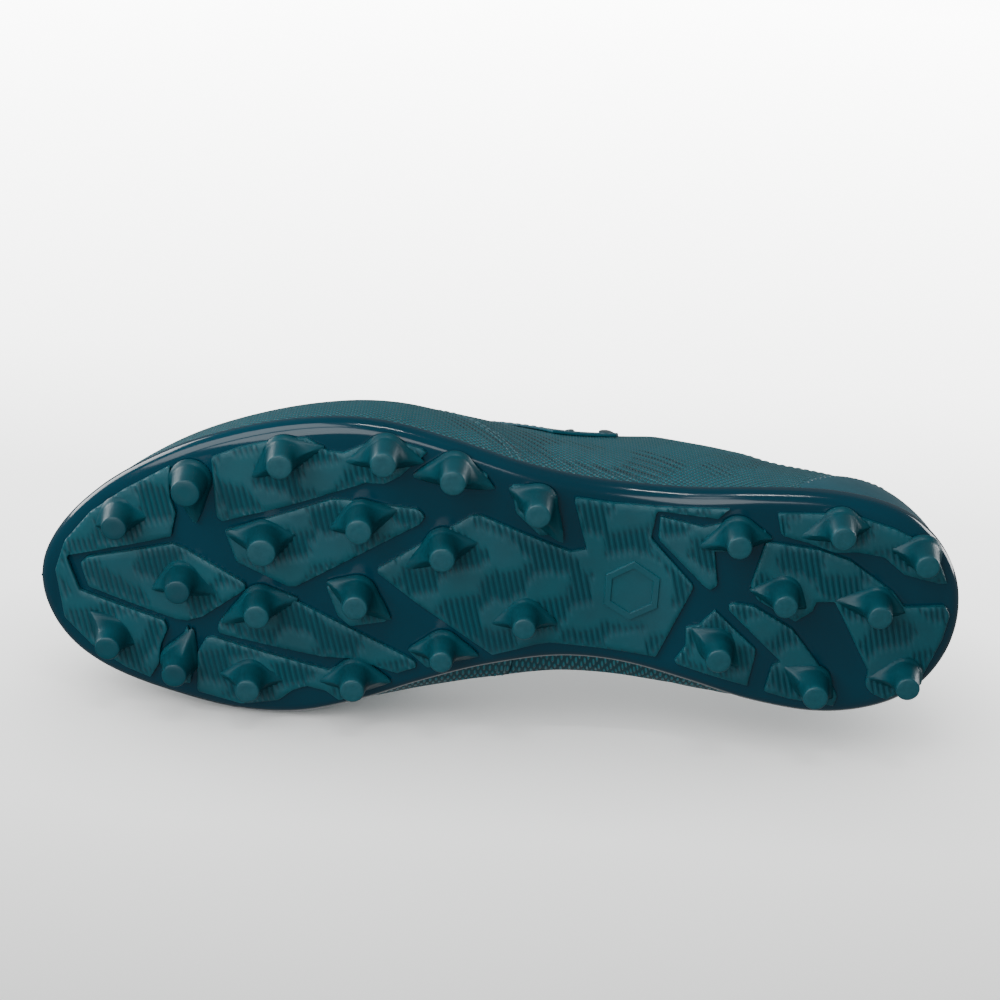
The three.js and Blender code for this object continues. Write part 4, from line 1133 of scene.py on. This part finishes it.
def smoothPath(points, steps):
    row = [points[0], *points, points[-1]]
    made = []
    for k in range(steps + 1):
        t = k / steps * (len(points) - 1)
        i = min(int(t), len(points) - 2)
        w = t - i
        p, a, b, q = row[i], row[i + 1], row[i + 2], row[i + 3]
        leave, arrive = (b - p) / 2, (q - a) / 2
        made.append((a - b) * 2 * w**3 + (leave + arrive) * w**3 + (b - a) * 3 * w**2
                    - (leave * 2 + arrive) * w**2 + leave * w + a)
    return made


def laceStrand(points):
    path = smoothPath(points, lace["steps"])
    main = path[-1] - path[0]
    flat = Vector((-main.y, main.x, 0)).normalized()
    run = lace["steps"]

    def spot(i, j):
        tangent = (path[min(i + 1, run)] - path[max(i - 1, 0)]).normalized()
        wide = (flat - tangent * tangent.dot(flat)).normalized()
        thick = tangent.cross(wide)
        a = math.tau * j / lace["round"]
        middle = math.sin(math.pi * i / run) ** 0.35
        half = 1.5 + (lace["halfWidth"] - 1.5) * middle
        deep = 0.85 + (lace["halfThickness"] - 0.85) * middle
        return path[i] + wide * half * math.cos(a) + thick * deep * math.sin(a)
    return sweptSolid(run, lace["round"], spot)


def lacePiece():
    bm = bmesh.new()
    strands = []
    lastPair = eyelets["pairs"] - 1
    for sign in (-1, 1):
        for i in range(lastPair):
            middleX = eyeletX(i + 0.5)
            over = 2.4 if sign < 0 else 1.0
            strands.append([
                *laceOut(i, sign), underSkin(middleX, float(crestY(middleX)), over),
                eyeletPoint(i + 0.75, -sign, underLace - 1.2, eyelets["inset"] + 2),
                eyeletPoint(i + 0.9, -sign, underLace, eyelets["inset"] - 2),
                eyeletPoint(i + 1, -sign, underLace, 0.5), eyeletPoint(i + 1, -sign, 2.5),
            ])
    for i in (0, lastPair):
        middleX = eyeletX(i)
        crossing = underSkin(middleX, float(crestY(middleX)), 0.2)
        strands.append([*laceOut(i, -1), crossing, *laceOut(i, 1)[::-1]])
    for points in strands:
        joinTo(bm, laceStrand(points))
    return finishPiece("flat_lace", mapped(bm), braid, "lace_cord", stands=["lace"], sharp=70)


lacePiece()

print("heel loop")
loopShape = {"y": 5, "width": 14, "thickness": 1.4, "foot": 58, "ring": 6.2, "edge": 0.35,
             "along": 56, "across": 10}


def backSurface(z, dy, inset):
    low, high = 0.86, 1.0
    for _ in range(24):
        middle = (low + high) / 2
        if float(halfAt(middle, inset, z)) > abs(dy):
            low = middle
        else:
            high = middle
    x = formMiddle + (float(xAt(low)) - formMiddle) * (1 - 2 * inset / last["length"])
    return x - float(leanAt(x, z - float(featherZ(x))))


def heelLoop():
    top = float(collarZ(133))
    ringMiddle = backSurface(top, 0, -(last["seam"] + loopShape["thickness"])) - 0.7 - loopShape["ring"]
    along, across = loopShape["along"], loopShape["across"]

    def spot(i, j):
        dy = -loopShape["width"] / 2 + loopShape["width"] * j / across
        share = i / along
        if share < 0.45:
            z = loopShape["foot"] + (top + 2 - loopShape["foot"]) * share / 0.45
            turned = float(ease((share - 0.33) / 0.12))
            x = backSurface(z, dy * (1 - turned), -(last["seam"] + loopShape["thickness"] / 2))
            x = x * (1 - turned) + (ringMiddle + loopShape["ring"]) * turned
        else:
            a = math.pi * (share - 0.45) / 0.55
            x = ringMiddle + loopShape["ring"] * math.cos(a)
            z = top + 2 + loopShape["ring"] * math.sin(a)
        return x, loopShape["y"] + dy, z
    bm = bmesh.new()
    bmesh.ops.create_grid(bm, x_segments=along, y_segments=across, size=0.5)
    share = readPoints(bm) + 0.5
    for k, vert in enumerate(bm.verts):
        vert.co = spot(round(share[k, 0] * along), round(share[k, 1] * across))
    bmesh.ops.recalc_face_normals(bm, faces=bm.faces)
    piece = finishPiece("heel_tape", bm, tape, "webbing", stands=["heel_loop"], sharp=80)
    addModifier(piece, "wall", "SOLIDIFY", {"thickness": loopShape["thickness"] * mm, "offset": 0})
    roundEdges(piece, loopShape["edge"])


heelLoop()

print("stitching")
stitch = {"pitch": 2.7, "length": 1.9, "width": 0.27, "proud": 0.02}


def stitchRow(name, points):
    lengths = [0.0]
    for a, b in zip(points, points[1:]):
        lengths.append(lengths[-1] + (b - a).length)
    count = int(lengths[-1] / stitch["pitch"])
    bm = bmesh.new()
    for k in range(count):
        at = (k + 0.5) * stitch["pitch"]
        i = max(j for j in range(len(lengths) - 1) if lengths[j] <= at)
        share = (at - lengths[i]) / max(1e-6, lengths[i + 1] - lengths[i])
        centre = points[i].lerp(points[i + 1], share)
        tangent = (points[i + 1] - points[i]).normalized()
        outward = Vector((0, centre.y - float(crestY(centre.x)), max(4.0, centre.z - 30) * 0.4)).normalized()
        outward = (outward - tangent * tangent.dot(outward)).normalized()
        turn = Matrix((tangent, outward.cross(tangent), outward)).transposed().to_4x4()
        size = Matrix.Diagonal((stitch["length"] / 2, stitch["width"], stitch["width"] * 0.8, 1))
        spot = Matrix.Translation(centre + outward * stitch["proud"])
        bmesh.ops.create_uvsphere(bm, u_segments=6, v_segments=5, radius=1, matrix=spot @ turn @ size @
                                  Matrix.Rotation(halfTurn, 4, "Y"))
    return finishPiece(name, swellArch(bm), thread, "upper_synthetic", sharp=80)


def along(start, end, count):
    return [start + (end - start) * i / count for i in range(count + 1)]


for label, sign in (("lateral", -1), ("medial", 1)):
    rimRow = [sideAt(x, float(rimTopZ(x)) + 1.3, sign) for x in along(-140, 82, 160)]
    stitchRow("rim_stitches_" + label, rimRow)
    for row, offset in enumerate((1.8, 4.2)):
        seamRow = [sideAt(float(seamX(z)) - offset, z, sign) for z in along(22, 62, 50)]
        stitchRow(f"seam_stitches_{label}_{row}", seamRow)
    collarRow = [sideAt(x, float(collarZ(x)) - 2.6, sign) for x in along(50, 122, 80)]
    stitchRow("collar_stitches_" + label, collarRow)
    stayRow = []
    for x in along(-26, 34, 60):
        y = float(crestY(x) + sign * (throatHalf(x) + upper["eyestayWidth"] - 1.8))
        z = max(float(topZ(x, y)), float(crestZ(x)) - upper["eyestayDrop"] + 2)
        stayRow.append(sideAt(x, z, sign, upper["overlayOut"]))
    stitchRow("eyestay_stitches_" + label, stayRow)
    heelRow = [sideAt(x, float(heelOverlayZ(x)) - 1.8, sign, upper["overlayOut"]) for x in along(93, 122, 40)]
    stitchRow("heel_stitches_" + label, heelRow)

print("camera, stage and lights")
view = {"tilt": 23.5, "roll": 3.8, "lens": 85, "position": (-2.246, -317.495, -657.103)}
tilt, roll = math.radians(view["tilt"]), math.radians(view["roll"])
lookAlong = Vector((0, math.sin(tilt), math.cos(tilt)))
levelRight = Vector((1, 0, 0))
levelUp = Vector((0, -math.cos(tilt), math.sin(tilt)))
cameraRight = levelRight * math.cos(roll) + levelUp * math.sin(roll)
cameraUp = levelUp * math.cos(roll) - levelRight * math.sin(roll)
camera = addObject("camera", bpy.data.cameras.new("camera"))
camera.data.lens = view["lens"]
camera.data.sensor_width = 36
camera.data.clip_end = 20
turn = Matrix((cameraRight, cameraUp, -lookAlong)).transposed().to_4x4()
camera.matrix_world = Matrix.Translation(place(*view["position"])) @ turn
bpy.context.scene.camera = camera

stage = {"ground": 6.0, "wallGap": 0.0006, "tint": "#e9eae9", "glow": 1.6, "shadeReach": 0.07, "shadePower": 1.5,
         "wallGlow": [(-0.2, 0.35, 0.35, 4.4), (0.2, 1.2, 0.0, 9.0)]}  # from and to height, from and to strength


def stageMaterial(name, tall):
    material = bpy.data.materials.new(name)
    material.use_nodes = True
    tree = material.node_tree
    tree.nodes.clear()
    parts = addNode(tree, "SeparateXYZ", inputs={0: objectCoords(tree)})
    paint = addNode(tree, "BsdfDiffuse", inputs={"Color": linear(stage["tint"])})
    # The floor glows, so that it stays pale while the shoe is lit softly. It dims where the shoe shades it.
    strength = stage["glow"]
    if tall:
        near, far = [addNode(tree, "MapRange", inputs={
            "Value": parts.outputs["Z"], "From Min": low, "From Max": high, "To Min": dim, "To Max": bright,
        }).outputs[0] for low, high, dim, bright in stage["wallGlow"]]
        strength = addNode(tree, "Math", {"operation": "ADD"}, {0: near, 1: far}).outputs[0]
    shade = addNode(tree, "AmbientOcclusion", {"samples": 8}, {
        "Distance": stage["shadeReach"]}).outputs["AO"]
    shade = addNode(tree, "Math", {"operation": "POWER"}, {0: shade, 1: stage["shadePower"]}).outputs[0]
    strength = addNode(tree, "Math", {"operation": "MULTIPLY"}, {0: strength, 1: shade}).outputs[0]
    glow = addNode(tree, "Emission", inputs={"Color": linear(stage["tint"]), "Strength": strength})
    both = addNode(tree, "AddShader", inputs={0: paint.outputs[0], 1: glow.outputs[0]})
    clear = addNode(tree, "BsdfTransparent")
    hidden = addNode(tree, "NewGeometry").outputs["Backfacing"]
    if tall:
        ray = addNode(tree, "LightPath")
        # Above the ground the backdrop shows only through the ground, so it stands behind the sole alone.
        above = addNode(tree, "Math", {"operation": "GREATER_THAN"}, {
            0: parts.outputs["Z"], 1: 0.0}).outputs[0]
        direct = addNode(tree, "Math", {"operation": "LESS_THAN"}, {
            0: ray.outputs["Transparent Depth"], 1: 0.5}).outputs[0]
        lone = addNode(tree, "Math", {"operation": "MULTIPLY"}, {0: above, 1: direct}).outputs[0]
        hidden = addNode(tree, "Math", {"operation": "MAXIMUM"}, {0: hidden, 1: lone}).outputs[0]
    cover = addNode(tree, "MixShader", inputs={0: hidden})
    tree.links.new(both.outputs[0], cover.inputs[1])
    tree.links.new(clear.outputs[0], cover.inputs[2])
    output = addNode(tree, "OutputMaterial")
    tree.links.new(cover.outputs[0], output.inputs["Surface"])
    return material


def stagePlane(name, material, matrix):
    bm = bmesh.new()
    bmesh.ops.create_grid(bm, x_segments=1, y_segments=1, size=stage["ground"], matrix=matrix)
    mesh = bpy.data.meshes.new(name)
    bm.to_mesh(mesh)
    bm.free()
    mesh.materials.append(material)
    plane = addObject(name, mesh)
    plane.visible_shadow = plane.visible_glossy = plane.visible_diffuse = False


stagePlane("ground", stageMaterial("paleGround", False), Matrix.Identity(4))
wallY = plateHigh.y + stage["wallGap"]
stagePlane("side_floor", stageMaterial("paleFloor", True),
           Matrix.Translation((0, wallY, 0)) @ Matrix.Rotation(halfTurn, 4, "X"))

lights = {
    "key": ((-0.8, -0.95, -0.6), (1.3, 0.9), 9),
    "strip": ((0.05, -1.2, -0.22), (0.34, 0.02), 2.0),
    "front": ((-0.3, -0.35, -1.2), (0.9, 0.9), 6.5),
    "over": ((-1.3, -0.5, 0.9), (0.9, 0.9), 14),
    "back": ((1.3, -0.2, 0.9), (0.8, 0.8), 12),
    "fill": ((0.3, 1.3, 0.9), (1.2, 1.2), 1.2),
}
for name, (spot, size, power) in lights.items():
    lamp = bpy.data.lights.new(name, "AREA")
    lamp.shape = "RECTANGLE"
    lamp.size, lamp.size_y = size
    lamp.energy = power
    holder = addObject(name, lamp)
    holder.location = spot
    holder.rotation_mode = "QUATERNION"
    holder.rotation_quaternion = (Vector((0, 0, 0.03)) - Vector(spot)).to_track_quat("-Z", "Y")
world = bpy.data.worlds.new("studio")
world.use_nodes = True
worldTree = world.node_tree
worldTree.nodes.clear()
# The room looks pale but lights the shoe little, so that the lamps shape it.
blend = addNode(worldTree, "MixShader", inputs={
    0: addNode(worldTree, "LightPath").outputs["Is Camera Ray"]})
for slotNumber, strength in ((1, 0.15), (2, 2.2)):
    tone = addNode(worldTree, "Background", inputs={"Color": linear("#f4f5f5"), "Strength": strength})
    worldTree.links.new(tone.outputs[0], blend.inputs[slotNumber])
worldTree.links.new(blend.outputs[0], addNode(worldTree, "OutputWorld").inputs["Surface"])
bpy.context.scene.world = world
